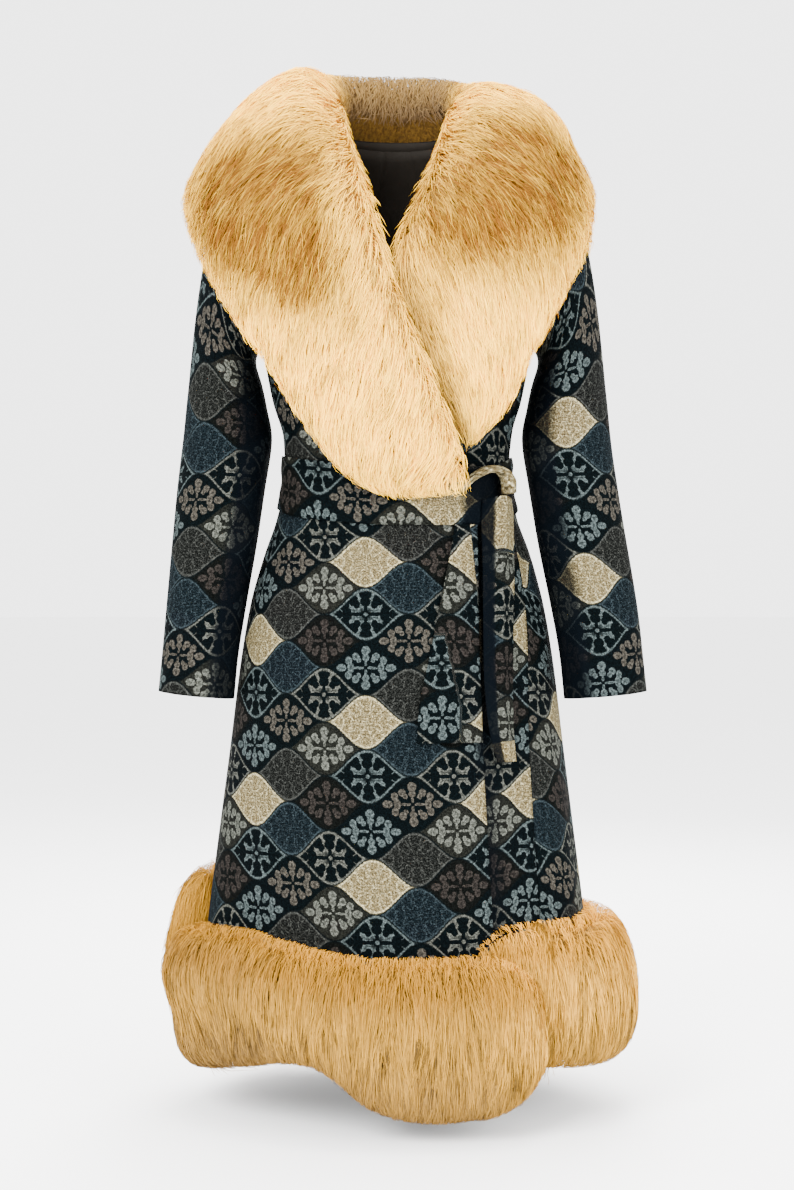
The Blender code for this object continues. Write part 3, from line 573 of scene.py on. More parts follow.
# Materials
class Tree:
    """A short way to add nodes to a material or a node group."""

    def __init__(self, tree):
        self.tree = tree

    def add(self, kind, **settings):
        node = self.tree.nodes.new(kind)
        for key, value in settings.items():
            setattr(node, key, value)
        return node

    def link(self, source, target):
        """Links a socket, or sets a plain value."""
        if isinstance(source, bpy.types.NodeSocket):
            self.tree.links.new(source, target)
        else:
            target.default_value = source

    def math(self, operation, *values):
        node = self.add("ShaderNodeMath", operation=operation)
        for value, socket in zip(values, node.inputs):
            self.link(value, socket)
        return node.outputs[0]

    def vector(self, operation, *values):
        node = self.add("ShaderNodeVectorMath", operation=operation)
        for value, socket in zip(values, node.inputs):
            self.link(value, socket)
        return node.outputs["Value" if operation in ("LENGTH", "DOT_PRODUCT") else "Vector"]

    def mix(self, factor, a, b):
        """Between two colours."""
        node = self.add("ShaderNodeMix", data_type="RGBA")
        self.link(factor, node.inputs[0])
        self.link(rgba(a), node.inputs[6])
        self.link(rgba(b), node.inputs[7])
        return node.outputs[2]

    def blend(self, factor, a, b):
        """Between two numbers."""
        node = self.add("ShaderNodeMix", data_type="FLOAT")
        self.link(factor, node.inputs[0])
        self.link(a, node.inputs[2])
        self.link(b, node.inputs[3])
        return node.outputs[0]

    def noise(self, vector, scale, detail=2.0, roughness=0.5):
        node = self.add("ShaderNodeTexNoise")
        self.link(vector, node.inputs["Vector"])
        node.inputs["Scale"].default_value = scale
        node.inputs["Detail"].default_value = detail
        node.inputs["Roughness"].default_value = roughness
        return node.outputs["Fac"]

    def step(self, value, low, high):
        """0 below low, 1 above high and smooth between."""
        node = self.add("ShaderNodeMapRange", interpolation_type="SMOOTHSTEP")
        self.link(value, node.inputs["Value"])
        node.inputs["From Min"].default_value = low
        node.inputs["From Max"].default_value = high
        return node.outputs["Result"]

    def scale(self, vector, amount):
        node = self.add("ShaderNodeVectorMath", operation="SCALE")
        self.link(vector, node.inputs[0])
        self.link(amount, node.inputs["Scale"])
        return node.outputs[0]

    def bump(self, height, strength, distance, shader):
        node = self.add("ShaderNodeBump")
        node.inputs["Strength"].default_value = strength
        node.inputs["Distance"].default_value = distance
        self.link(height, node.inputs["Height"])
        self.link(node.outputs["Normal"], shader.inputs["Normal"])

    def ramp(self, factor, colours):
        """Even steps of flat colour."""
        node = self.add("ShaderNodeValToRGB")
        node.color_ramp.interpolation = "CONSTANT"
        stops = node.color_ramp.elements
        while len(stops) < len(colours):
            stops.new(len(stops) / len(colours))
        for i, colour in enumerate(colours):
            stops[i].position = i / len(colours)
            stops[i].color = rgba(colour)
        self.link(factor, node.inputs["Fac"])
        return node.outputs["Color"]


def rgba(colour):
    if isinstance(colour, (int, float)):
        return (colour, colour, colour, 1.0)
    if isinstance(colour, bpy.types.NodeSocket):
        return colour
    return (*tuple(colour)[:3], 1.0)


def new_group(name, inputs, outputs):
    """An empty node group. Each socket is its name, kind and, for an input, its default."""
    group = bpy.data.node_groups.new(name, "ShaderNodeTree")
    for title, kind, default in inputs:
        socket = group.interface.new_socket(title, in_out="INPUT", socket_type=kind)
        if default is not None:
            socket.default_value = default
    for title, kind in outputs:
        group.interface.new_socket(title, in_out="OUTPUT", socket_type=kind)
    tree = Tree(group)
    return group, tree, tree.add("NodeGroupInput").outputs, tree.add("NodeGroupOutput").inputs


def lattice_group():
    """The woven ogee lattice: colour and thread height from a map in metres on the cloth, with painted
    shade mixed into the colour.
    """
    found = bpy.data.node_groups.get("Ogee tapestry")
    if found:
        return found
    group, t, given, put = new_group(
        "Ogee tapestry",
        [("Place", "NodeSocketVector", None), ("Column", "NodeSocketFloat", 0.0532),
         ("Cell height", "NodeSocketFloat", 0.0668), ("Painted shade", "NodeSocketFloat", 0.0),
         ("Navy for beige", "NodeSocketFloat", 0.0)],
        [("Color", "NodeSocketColor"), ("Height", "NodeSocketFloat")])
    place = given["Place"]
    wobble = t.add("ShaderNodeTexNoise")
    t.link(place, wobble.inputs["Vector"])
    wobble.inputs["Scale"].default_value = 420.0
    wobble.inputs["Detail"].default_value = 1.0
    shift = t.vector("SUBTRACT", wobble.outputs["Color"], (0.5, 0.5, 0.5))
    shift = t.vector("MULTIPLY", shift, (0.0026, 0.0022, 0.0))
    place = t.vector("ADD", place, shift)
    split = t.add("ShaderNodeSeparateXYZ")
    t.link(place, split.inputs[0])
    column = t.math("DIVIDE", split.outputs["X"], given["Column"])
    down = t.math("DIVIDE", split.outputs["Y"], given["Cell height"])
    left = t.math("FLOOR", column)
    part = t.math("SUBTRACT", column, left)
    odd = t.math("FLOORED_MODULO", left, 2.0)
    left_off = t.math("MULTIPLY", t.math("SUBTRACT", 1.0, odd), 0.5)
    right_off = t.math("MULTIPLY", odd, 0.5)
    wave = t.math("COSINE", t.math("MULTIPLY", part, pi))
    left_half = t.math("MULTIPLY_ADD", wave, 0.25, 0.25)
    left_y = t.math("SUBTRACT", down, left_off)
    left_n = t.math("ROUND", left_y)
    left_d = t.math("SUBTRACT", left_y, left_n)
    right_y = t.math("SUBTRACT", down, right_off)
    right_n = t.math("ROUND", right_y)
    right_d = t.math("SUBTRACT", right_y, right_n)
    in_left = t.math("LESS_THAN", t.math("ABSOLUTE", left_d), left_half)
    cell_k = t.math("ADD", left, t.math("SUBTRACT", 1.0, in_left))
    cell_n = t.blend(in_left, right_n, left_n)
    x = t.math("SUBTRACT", part, t.math("SUBTRACT", 1.0, in_left))
    y = t.blend(in_left, right_d, left_d)
    half = t.blend(in_left, t.math("SUBTRACT", 0.5, left_half), left_half)
    inside = t.math("SUBTRACT", half, t.math("ABSOLUTE", y))
    number = t.math("ADD", t.math("MULTIPLY", t.math("FLOORED_MODULO", cell_k, 6.0), 3.0),
                    t.math("FLOORED_MODULO", cell_n, 3.0))
    for beige in BEIGE_CELLS:
        swapped = t.math("MULTIPLY", t.math("COMPARE", number, beige, 0.2), given["Navy for beige"])
        number = t.math("MULTIPLY_ADD", swapped, NAVY_CELL - beige, number)
    factor = t.math("DIVIDE", t.math("ADD", number, 0.5), float(len(CELLS)))
    kind = t.ramp(factor, [cell[0] for cell in CELLS])
    ground = t.ramp(factor, [cell[1] for cell in CELLS])
    figure = t.ramp(factor, [cell[2] for cell in CELLS])
    quarter = t.add("ShaderNodeCombineXYZ")
    t.link(t.math("MULTIPLY", t.math("ABSOLUTE", x), given["Column"]), quarter.inputs[0])
    t.link(t.math("MULTIPLY", t.math("ABSOLUTE", y), given["Cell height"]), quarter.inputs[1])
    is_rosette = t.math("COMPARE", kind, ROSETTE, 0.2)
    is_outlined = t.math("COMPARE", kind, OUTLINED, 0.2)
    small = t.math("MULTIPLY_ADD", is_rosette, 0.17, 1.0)
    small = t.math("MULTIPLY_ADD", is_outlined, -0.07, small)
    drawn = t.scale(quarter.outputs[0], small)
    nearest = None
    for lobe_x, lobe_y, half_width, half_height in LOBES:
        off = t.vector("SUBTRACT", drawn, (lobe_x, lobe_y, 0.0))
        off = t.vector("LENGTH", t.vector("DIVIDE", off, (half_width, half_height, 1.0)))
        nearest = off if nearest is None else t.math("MINIMUM", nearest, off)
    middle = t.vector("LENGTH", quarter.outputs[0])
    leaf = t.math("SUBTRACT", 1.0, t.step(nearest, 0.84, 1.02))
    hollow = t.math("SUBTRACT", 1.0, t.step(nearest, 0.22, 0.46))
    pith = t.math("SUBTRACT", 1.0, t.step(middle, 0.0018, 0.0032))
    rosette = t.math("MULTIPLY", leaf, t.math("MULTIPLY_ADD", hollow, -0.5, 1.0))
    rosette = t.math("MULTIPLY", rosette, t.math("SUBTRACT", 1.0, pith))
    fringe = t.math("SUBTRACT", 1.0, t.math("MULTIPLY", t.step(nearest, 1.45, 1.7), 0.55))
    net = t.math("MULTIPLY", fringe, t.step(middle, 0.004, 0.010))
    net = t.math("MAXIMUM", t.math("MULTIPLY", t.step(nearest, 1.06, 1.20), net), pith)
    rim = t.math("SUBTRACT", 1.0, t.step(inside, 0.040, 0.075))
    crumbs = t.noise(given["Place"], 560.0, 2.0, 0.6)
    speckle = t.step(crumbs, 0.44, 0.62)
    off_line = t.math("ABSOLUTE", t.math("SUBTRACT", nearest, 1.05))
    ghost = t.math("SUBTRACT", 1.0, t.step(off_line, 0.06, 0.24))
    ghost = t.math("MULTIPLY", ghost, t.step(crumbs, 0.38, 0.52))
    speckle = t.math("MAXIMUM", t.math("MULTIPLY", speckle, 0.50), t.math("MULTIPLY", ghost, 0.95))
    speckle = t.math("MAXIMUM", speckle, rim)
    mask = t.blend(is_rosette, speckle, rosette)
    mask = t.blend(is_outlined, mask, t.math("MAXIMUM", net, rim))
    gap = t.math("SUBTRACT", 1.0, t.step(inside, 0.010, 0.028))
    colour = t.mix(mask, ground, figure)
    colour = t.mix(t.math("MULTIPLY", gap, 0.9), colour, BLACK)
    grain = t.noise(given["Place"], 520.0, 3.0, 0.75)
    bright = t.math("MULTIPLY_ADD", t.step(grain, 0.34, 0.66), 1.2, 0.30)
    coarse = t.step(t.noise(given["Place"], 310.0, 2.0, 0.6), 0.36, 0.64)
    bright = t.math("MULTIPLY", bright, t.math("MULTIPLY_ADD", coarse, 0.75, 0.62))
    # Painted shade: the colour goes towards a near-black as far as the painted shade input asks.
    with_painted_shade = t.mix(given["Painted shade"], t.scale(colour, bright), DEEP_CLOTH)
    t.link(with_painted_shade, put["Color"])
    warp = t.math("SINE", t.math("MULTIPLY", split.outputs["X"], 2 * pi / WARP_SPACING))
    weft = t.math("SINE", t.math("MULTIPLY", split.outputs["Y"], 2 * pi / WEFT_SPACING))
    woven = t.math("MULTIPLY_ADD", t.math("MULTIPLY", warp, weft), 0.22, 0.4)
    raised = t.math("MULTIPLY_ADD", mask, 0.25, t.math("MULTIPLY", crumbs, 0.3))
    t.link(t.math("ADD", woven, raised), put["Height"])
    return group


def new_material(name):
    material = bpy.data.materials.get(name)
    if material:
        return material, None, None
    material = bpy.data.materials.new(name)
    material.use_nodes = True
    tree = Tree(material.node_tree)
    return material, tree, material.node_tree.nodes["Principled BSDF"]


def tapestry(name, navy_for_beige=0.0):
    material, t, shader = new_material(name)
    if t is None:
        return material
    place = t.add("ShaderNodeUVMap", uv_map=CLOTH_MAP)
    weave = t.add("ShaderNodeGroup", node_tree=lattice_group())
    t.link(place.outputs[0], weave.inputs["Place"])
    sizes = bpy.context.scene.coat_sizes
    weave.inputs["Column"].default_value = sizes.lattice_column
    weave.inputs["Cell height"].default_value = sizes.lattice_cell
    weave.inputs["Navy for beige"].default_value = navy_for_beige
    # The shade attribute carries painted shade into the weave's colour.
    shade = t.add("ShaderNodeAttribute", attribute_name="shade")
    t.link(shade.outputs["Fac"], weave.inputs["Painted shade"])
    t.link(weave.outputs["Color"], shader.inputs["Base Color"])
    t.bump(weave.outputs["Height"], 0.5, 0.0011, shader)
    shader.inputs["Roughness"].default_value = 0.88
    shader.inputs["Specular IOR Level"].default_value = 0.015
    return material


def lining_material():
    material, t, shader = new_material("lining_satin")
    if t is None:
        return material
    place = t.add("ShaderNodeTexCoord").outputs["Object"]
    soft = t.noise(place, 60.0, 3.0)
    fine = t.noise(place, 1600.0, 1.0)
    colour = t.mix(soft, bpy.context.scene.coat_colours.lining, (0.0060, 0.0048, 0.0034))
    t.link(colour, shader.inputs["Base Color"])
    t.link(t.math("MULTIPLY_ADD", fine, 0.2, 0.60), shader.inputs["Roughness"])
    shader.inputs["Specular IOR Level"].default_value = 0.06
    t.bump(fine, 0.2, 0.0004, shader)
    return material


def fur_group():
    """Hair colour from the place along the hair, its tone, its honey and the painted light and shade
    that it carries.
    """
    found = bpy.data.node_groups.get("Fur tint")
    if found:
        return found
    group, t, given, put = new_group(
        "Fur tint",
        [("Root", "NodeSocketColor", None), ("Tip", "NodeSocketColor", None),
         ("Honey", "NodeSocketColor", None), ("Dark", "NodeSocketColor", None)],
        [("Color", "NodeSocketColor")])
    read = t.add("ShaderNodeAttribute", attribute_name="hair")
    split = t.add("ShaderNodeSeparateColor")
    t.link(read.outputs["Color"], split.inputs[0])
    along, tone, honey = split.outputs[0], split.outputs[1], split.outputs[2]
    colour = t.mix(t.step(along, 0.0, 0.75), given["Root"], given["Tip"])
    colour = t.mix(honey, colour, given["Honey"])
    colour = t.mix(t.math("MULTIPLY", t.step(tone, 0.50, 0.0), 0.85), colour, given["Dark"])
    # The light attribute is painted light and shade: it scales the colour, and where it is below 1 a
    # dark brown is added as painted shade.
    light = read.outputs["Alpha"]
    lit = t.scale(t.scale(colour, t.math("MULTIPLY_ADD", tone, 0.62, 0.58)), light)
    deep = t.math("SUBTRACT", 1.0, t.math("MINIMUM", light, 1.0))
    t.link(t.vector("ADD", lit, t.scale(DEEP_HAIR, deep)), put["Color"])
    return group


def fur_material(name, root, tip, honey, dark):
    material, t, shader = new_material(name)
    if t is None:
        return material
    tint = t.add("ShaderNodeGroup", node_tree=fur_group())
    for title, colour in (("Root", root), ("Tip", tip), ("Honey", honey), ("Dark", dark)):
        tint.inputs[title].default_value = rgba(colour)
    t.link(tint.outputs["Color"], shader.inputs["Base Color"])
    shader.inputs["Roughness"].default_value = 0.7
    shader.inputs["Specular IOR Level"].default_value = 0.04
    return material


def pad_material(name, light, dark):
    material, t, shader = new_material(name)
    if t is None:
        return material
    place = t.add("ShaderNodeTexCoord").outputs["Object"]
    stretched = t.vector("MULTIPLY", place, (1.0, 1.0, 0.25))
    strands = t.noise(stretched, 260.0, 4.0, 0.7)
    # The light attribute is painted shade on the pad, scaling its colour.
    read = t.add("ShaderNodeAttribute", attribute_name="light")
    colour = t.mix(t.step(strands, 0.35, 0.65), dark, light)
    t.link(t.scale(colour, read.outputs["Fac"]), shader.inputs["Base Color"])
    t.bump(strands, 1.0, 0.004, shader)
    shader.inputs["Roughness"].default_value = 0.9
    shader.inputs["Specular IOR Level"].default_value = 0.03
    return material


# Cloth panels
FUR_TOP = -1.0


def panel_grid(level_list, start, end, columns, fur):
    """Levels and angles of a panel's grid, the last rows following its fur's lower edge."""
    share = np.linspace(0, 1, columns + 1)
    lowest = level_list[-1]
    levels, angles = [], []
    for level in level_list:
        s, e = float(start(np.array(level))), float(end(np.array(level)))
        row = s + (e - s) * share
        here = np.full_like(row, level)
        if level < FUR_TOP:
            hem = read_rows(fur, row)[:, 1] + HEM_INSIDE
            here = FUR_TOP + (hem - FUR_TOP) * (FUR_TOP - level) / (FUR_TOP - lowest)
        levels.append(here)
        angles.append(row)
    return np.array(levels), np.array(angles)


def panel_levels():
    shoulder = np.linspace(0.0099, -0.045, 16)[:-1]
    armhole = ARMHOLE_LEVEL + ARMHOLE_HALF_HEIGHT * np.cos(np.linspace(0, pi, 30))
    skirt = np.linspace(-0.265, -1.19, 118)[1:]
    return np.concatenate((shoulder, armhole, skirt))


def panel_shade(name, levels, angles, points):
    """Painted shade on a panel: behind the belt's ends, below the lap and inside the neck."""
    # A painted shadow strip along the lap's free edge, beside and behind the side tail, below the
    # belt.
    if name == "front_over":
        x, z = points[..., 0], points[..., 2]
        below_belt = ease((-0.475 - z) / 0.02) * ease((z + 0.82) / 0.04)
        return 0.85 * ease((x - 0.094) / 0.006) * below_belt
    # Painted shade on the lower front where it lies beside and beneath the lap's edge.
    if name == "front_under":
        near_lap = ease((over_edge(levels) + 9.0 - angles) / 7.0)
        return 0.62 * near_lap * ease((-0.46 - levels) / 0.04)
    # Painted shade along the top edge, inside the neck under the collar.
    return 0.95 * ease((levels + 0.030) / 0.015)


def build_panel(name, start, end, columns, fur, grain, shift, lower, materials):
    """A cloth panel, with its creases, laid out on the weave by its own grain line."""
    levels, angles = panel_grid(panel_levels(), start, end, columns, fur)
    out = crease_height(levels, angles)
    free = ease((-0.395 - levels) / 0.02) * ease((levels + 0.505) / 0.02)
    out = out * (1 - free)
    if lower is not None:
        out = np.minimum(out, 0.0015) + lower(levels, angles)
    points = body(levels, angles, out)
    u = arc(levels, angles) - grain(levels) + shift[0]
    v = drop_along(levels) + shift[1]
    if name != "front_under":
        pull_in(points, 0)
    if name != "front_over":
        pull_in(points, -1)
    piece = cloth(name + "_cloth", points, np.stack((u, v), -1), WALL, materials,
                  shade=panel_shade(name, levels, angles, points))
    finish_piece(piece, "tapestry_cloth", name)


def pull_in(points, side):
    """Stops a panel just short of the seam on one side."""
    inward = points[:, 1] - points[:, 0] if side == 0 else points[:, -2] - points[:, -1]
    points[:, side] += unit(inward) * SEAM


def build_cloth_panels():
    """The back and both fronts. Each grain line says where a panel's weave is laid from."""
    main = [tapestry("woven_tapestry"), lining_material()]
    cell = bpy.context.scene.coat_sizes.lattice_cell
    waist = np.array(-0.49)
    edge_arc = float(arc(waist, over_edge(waist)))

    def over_grain(level):
        return np.where(level < -0.49, arc(level, over_edge(level)), edge_arc)

    def under_grain(level):
        return -over_grain(level)

    def back_grain(level):
        return arc(level, np.full_like(level, 180.0))

    build_panel("back", lambda v: left_seam(v) + armhole_gap(v),
                lambda v: 360.0 + RIGHT_SEAM_ANGLE - armhole_gap(v), 92, HEM_BACK,
                back_grain, (0.0, 0.5 * cell), None, main)
    build_panel("front_over", lambda v: RIGHT_SEAM_ANGLE + armhole_gap(v), over_edge, 68,
                HEM_OVER, over_grain, (0.147, 0.5 * cell), None, main)

    def under_out(level, angle):
        return -UNDER_STEP * ease((over_edge(level) + 12.0 - angle) / 9.0)

    build_panel("front_under", lambda v: np.maximum(-over_edge(v), UNDER_EDGE_LOWEST),
                lambda v: left_seam(v) - armhole_gap(v), 54, HEM_UNDER, under_grain,
                (0.02, 0.3 * cell + 0.123), under_out, main)


SLEEVE_RADIUS = 0.062


def build_sleeve(name, side, swing):
    """side is 1 for the wearer's left arm and -1 for the right."""
    per, sides = 9, 72
    weave_start = 0.080 if side < 0 else 0.006
    rings = through(SLEEVE, per)
    rows = len(rings)
    turn = np.linspace(0, 2 * pi, sides, endpoint=False)
    inner = np.stack((rings[:, 0], rings[:, 5], rings[:, 1]), -1)
    outer = np.stack((rings[:, 2], rings[:, 5], rings[:, 3]), -1)
    centre, reach = (inner + outer) / 2, (outer - inner) / 2
    cosine, sine = np.cos(turn)[None, :, None], np.sin(turn)[None, :, None]
    depth = rings[:, 4][:, None, None] * np.array((0.0, -1.0, 0.0))
    points = centre[:, None] + reach[:, None] * cosine + depth * sine
    head = body(ARMHOLE_LEVEL + (ARMHOLE_HALF_HEIGHT + 0.003) * np.cos(turn),
                90.0 - (ARMHOLE_HALF_ANGLE + 1.5) * np.sin(turn), np.full(sides, WALL + LAP))
    fade = np.interp(np.arange(rows) / per, range(5), list(HEAD_FADE) + [0.0])
    points = points + (head - points[0])[None] * fade[:, None, None]
    along = np.concatenate(([0], np.cumsum(np.linalg.norm(np.diff(centre, axis=0), axis=1))))
    away, turns = np.meshgrid(along, turn, indexing="ij")
    lines = [(a, b * SLEEVE_RADIUS, c, d * SLEEVE_RADIUS, w, h) for a, b, c, d, w, h in SLEEVE_CREASES]
    relief = segment_relief(away, turns * SLEEVE_RADIUS, lines) * ease((away - 0.02) / 0.05)
    normals = grid_normals(points, True)
    points = points + normals * relief[..., None]
    wider = swing * ease((-0.40 - points[..., 2]) / 0.25) * (points[..., 0] - 0.15) / 0.15
    points[..., 0] += wider
    step = np.linalg.norm(np.roll(points, -1, 1) - points, axis=2)
    round_it = np.concatenate((np.zeros((rows, 1)), np.cumsum(step, 1)[:, :-1]), 1)
    u = round_it - round_it[:, [sides // 4]]
    uv = np.stack((weave_start - side * u, np.broadcast_to(along[:, None], u.shape) + 0.01), -1)
    # Painted shade on the side of the sleeve that faces the body, from below its head to the cuff.
    shade = 0.90 * ease((-0.22 - np.cos(turns)) / 0.30) * ease((away - 0.06) / 0.10)
    points[..., 0] *= side
    if side > 0:
        points, uv, shade = points[:, ::-1], uv[:, ::-1], shade[:, ::-1]
    weave = tapestry("woven_sleeve", 1.0) if side < 0 else tapestry("woven_tapestry")
    piece = cloth(name + "_cloth", points, uv, WALL, [weave, lining_material()], ring=True,
                  shade=shade)
    finish_piece(piece, "tapestry_cloth", name)


def build_belt():
    material = tapestry("woven_belt")
    build_band(material)
    build_knot(material)
    build_tail("belt_tail_side", TAIL_SIDE, (0.0974, 0.445), material)
    build_tail("belt_tail_front", TAIL_FRONT, (0.150, 0.0886), material)


def build_band(material):
    """The strip round the waist, a little wavy, with its edges rolled in."""
    angle = np.linspace(-180, 180, 220, endpoint=False)
    share = np.linspace(0, 1, 15)
    top_bottom = read_rows(BELT, angle)
    levels = top_bottom[:, 0] + (top_bottom[:, 1] - top_bottom[:, 0]) * share[:, None]
    angles = np.broadcast_to(angle, levels.shape)
    wave = 0.0016 * np.sin(share[:, None] * 15 + angle / 37) * np.sin(np.radians(angle) * 3 + 1)
    roll = 0.0012 * (1 - np.minimum(share, 1 - share)[:, None] * 9).clip(0, 1)
    points = body(levels, angles, 0.0022 + np.maximum(wave, -0.0006) * 0.6 - roll)
    u = arc(levels, angles)
    v = (share * 0.072)[:, None] + 0 * u
    uv = np.stack((u - 0.058, v - 0.0098), -1)
    x, z = points[..., 0], points[..., 2]
    # Painted shade on the band in the hollow under the knot's arch.
    hollow = ease((x - 0.078) / 0.008) * ease((0.130 - x) / 0.006) * (points[..., 1] < 0)
    hollow = 0.93 * hollow * ease((-0.428 - z) / 0.006)
    band = cloth("belt_band_cloth", points, uv, BELT_WALL, [material], ring=True, outward=1.0,
                 shade=hollow)
    finish_piece(band, "tapestry_cloth", "belt_band")


def build_knot(material):
    """The strap of the knot, drawn in a little where it turns down."""
    rows = through(KNOT, 8)
    path = rows[:, :2].copy()
    path[:, 0] = np.minimum(path[:, 0], 0.110) + np.maximum(path[:, 0] - 0.110, 0) * 0.72
    along = unit(np.gradient(path, axis=0))
    across = np.stack((-along[:, 1], along[:, 0]), -1)
    turn = np.linspace(0, 2 * pi, 32, endpoint=False)
    ripple = 1 + 0.10 * np.cos(turn * 5)[None] * np.ones((len(rows), 1))
    flat = path[:, None] + across[:, None] * (rows[:, 4][:, None] / 2 * np.cos(turn))[..., None]
    out = rows[:, 2][:, None] + rows[:, 3][:, None] / 2 * np.sin(turn) * 0.9 * ripple
    points = on_front(flat[..., 0], flat[..., 1], out)
    length = np.concatenate(([0], np.cumsum(np.linalg.norm(np.diff(path, axis=0), axis=1))))
    middle = (length - length[-1] / 2) * 0.32 + 0.0334
    uv = np.stack((np.broadcast_to(turn * 0.004 - 0.012, out.shape),
                   np.broadcast_to(middle[:, None], out.shape)), -1)
    knot = closed_tube("belt_knot_cloth", points, uv, material)
    finish_piece(knot, "tapestry_cloth", "belt_knot")


def build_tail(name, table, place, material):
    """One hanging end, a ridge with two sides. place is where its weave is laid from."""
    in_front = name == "belt_tail_front"
    rows = through(table, 12)
    share = np.linspace(0, 1, 25)
    z, left_x, left_out, crest_x, crest_out, right_x, right_out = rows.T
    if in_front:
        z = z + 0.0048 * ease(1 - (z[0] - z) / 0.02)
    marks = np.stack((left_x, (left_x + crest_x) / 2, crest_x, (crest_x + right_x) / 2, right_x), -1)
    outs = np.stack((left_out, left_out * 0.45 + crest_out * 0.55, crest_out,
                     crest_out * 0.55 + right_out * 0.45, right_out), -1)
    x = np.array([np.interp(share * 4, range(5), row) for row in marks])
    out = np.array([read_rows([(k, row[k]) for k in range(5)], share * 4)[:, 0] for row in outs])
    zz = np.broadcast_to(z[:, None], x.shape)
    points = on_front(x, zz, out)
    step = np.linalg.norm(np.diff(points, axis=1), axis=2)
    u = np.concatenate((np.zeros((len(z), 1)), np.cumsum(step, 1)), 1)
    u = u - u[:, [len(share) // 2]]
    down = z[0] - zz
    lean, way = (0.25, 1.0) if in_front else (0.0, -1.0)
    uv = np.stack((u + place[0] - lean * down, down * way + place[1]), -1)
    shade = None
    if in_front:
        fold = np.interp(down, (0.095, 0.145, 0.221, 0.262), (0.048, 0.060, 0.075, 0.077))
        behind = (x < fold) & (down > 0.135)
        uv[behind] = np.stack((x - 0.054, down - 0.071), -1)[behind]
        beside = (x > 0.088 + 0.12 * down) & (down < 0.10)
        uv[beside] = np.stack((x - 0.080, down + 0.060), -1)[beside]
    else:
        # Painted shade on the third of the side tail nearest the front's middle.
        shade = np.broadcast_to(0.97 * ease((0.33 - share) / 0.05), x.shape)
        ends = (down < 0.070) | (down > 0.300)
        middle = np.where(down < 0.070, 0.035, 0.325)
        uv[ends] = np.stack((u + 0.1506, (down - middle) * 0.75 + 0.1336), -1)[ends]
    piece = cloth(name + "_cloth", points, uv, TAIL_WALL, [material], outward=0.5, shade=shade)
    finish_piece(piece, "tapestry_cloth", name)


def closed_tube(name, points, uv, material):
    rows, wide = points.shape[:2]
    index = np.arange(rows * wide).reshape(rows, wide)
    nxt = np.roll(index, -1, 1)
    quads = np.stack((index[:-1], index[1:], nxt[1:], nxt[:-1]), -1).reshape(-1, 4)
    verts = np.concatenate((points.reshape(-1, 3), points[0].mean(0)[None], points[-1].mean(0)[None]))
    first, last = rows * wide, rows * wide + 1
    start = np.stack((nxt[0], np.full(wide, first), index[0]), -1)
    end = np.stack((index[-1], np.full(wide, last), nxt[-1]), -1)
    corners = np.concatenate((quads.ravel(), start.ravel(), end.ravel()))
    sizes = np.concatenate((np.full(len(quads), 4), np.full(2 * wide, 3)))
    uvs = np.concatenate((uv.reshape(-1, 2), uv[0, :1], uv[-1, :1]))
    thing = make_mesh(name, verts, corners, sizes, uvs)
    thing.data.materials.append(material)
    return thing


def build_lining():
    levels = np.linspace(LINING_TOP, LINING_BOTTOM, 60)[:, None]
    angles = np.linspace(*LINING_ANGLES, 70)[None, :]
    levels, angles = np.broadcast_arrays(levels, angles)
    tuck = sum(0.0016 * np.exp(-((angles - middle) / 2.2) ** 2) for middle in (168, 193))
    seam = -0.0012 * np.exp(-((levels + 0.018) / 0.0022) ** 2)
    points = body(levels, angles, -LINING_INSET - tuck - 0.0005)
    points = points + skin_normal(levels, angles) * seam[..., None]
    uv = np.stack((arc(levels, angles), -levels), -1)
    piece = cloth("back_lining_cloth", points, uv, LINING_WALL, [lining_material()])
    finish_piece(piece, "dark_lining", "back_lining")


# Fur
PAD_VOXEL = 0.008
PAD_LEAST_LIGHT = 0.22
COLLAR_STEPS = 8
COLLAR_FINE = 6
# Degrees from row to row of a hem strip, and what is left out at each end.
HEM_STEP = 3.0
HEM_TRIM = 0.15
HAIRY_ENDS = {"hem_fur_over": (-1,), "hem_fur_under": (), "hem_fur_back": (0, -1)}


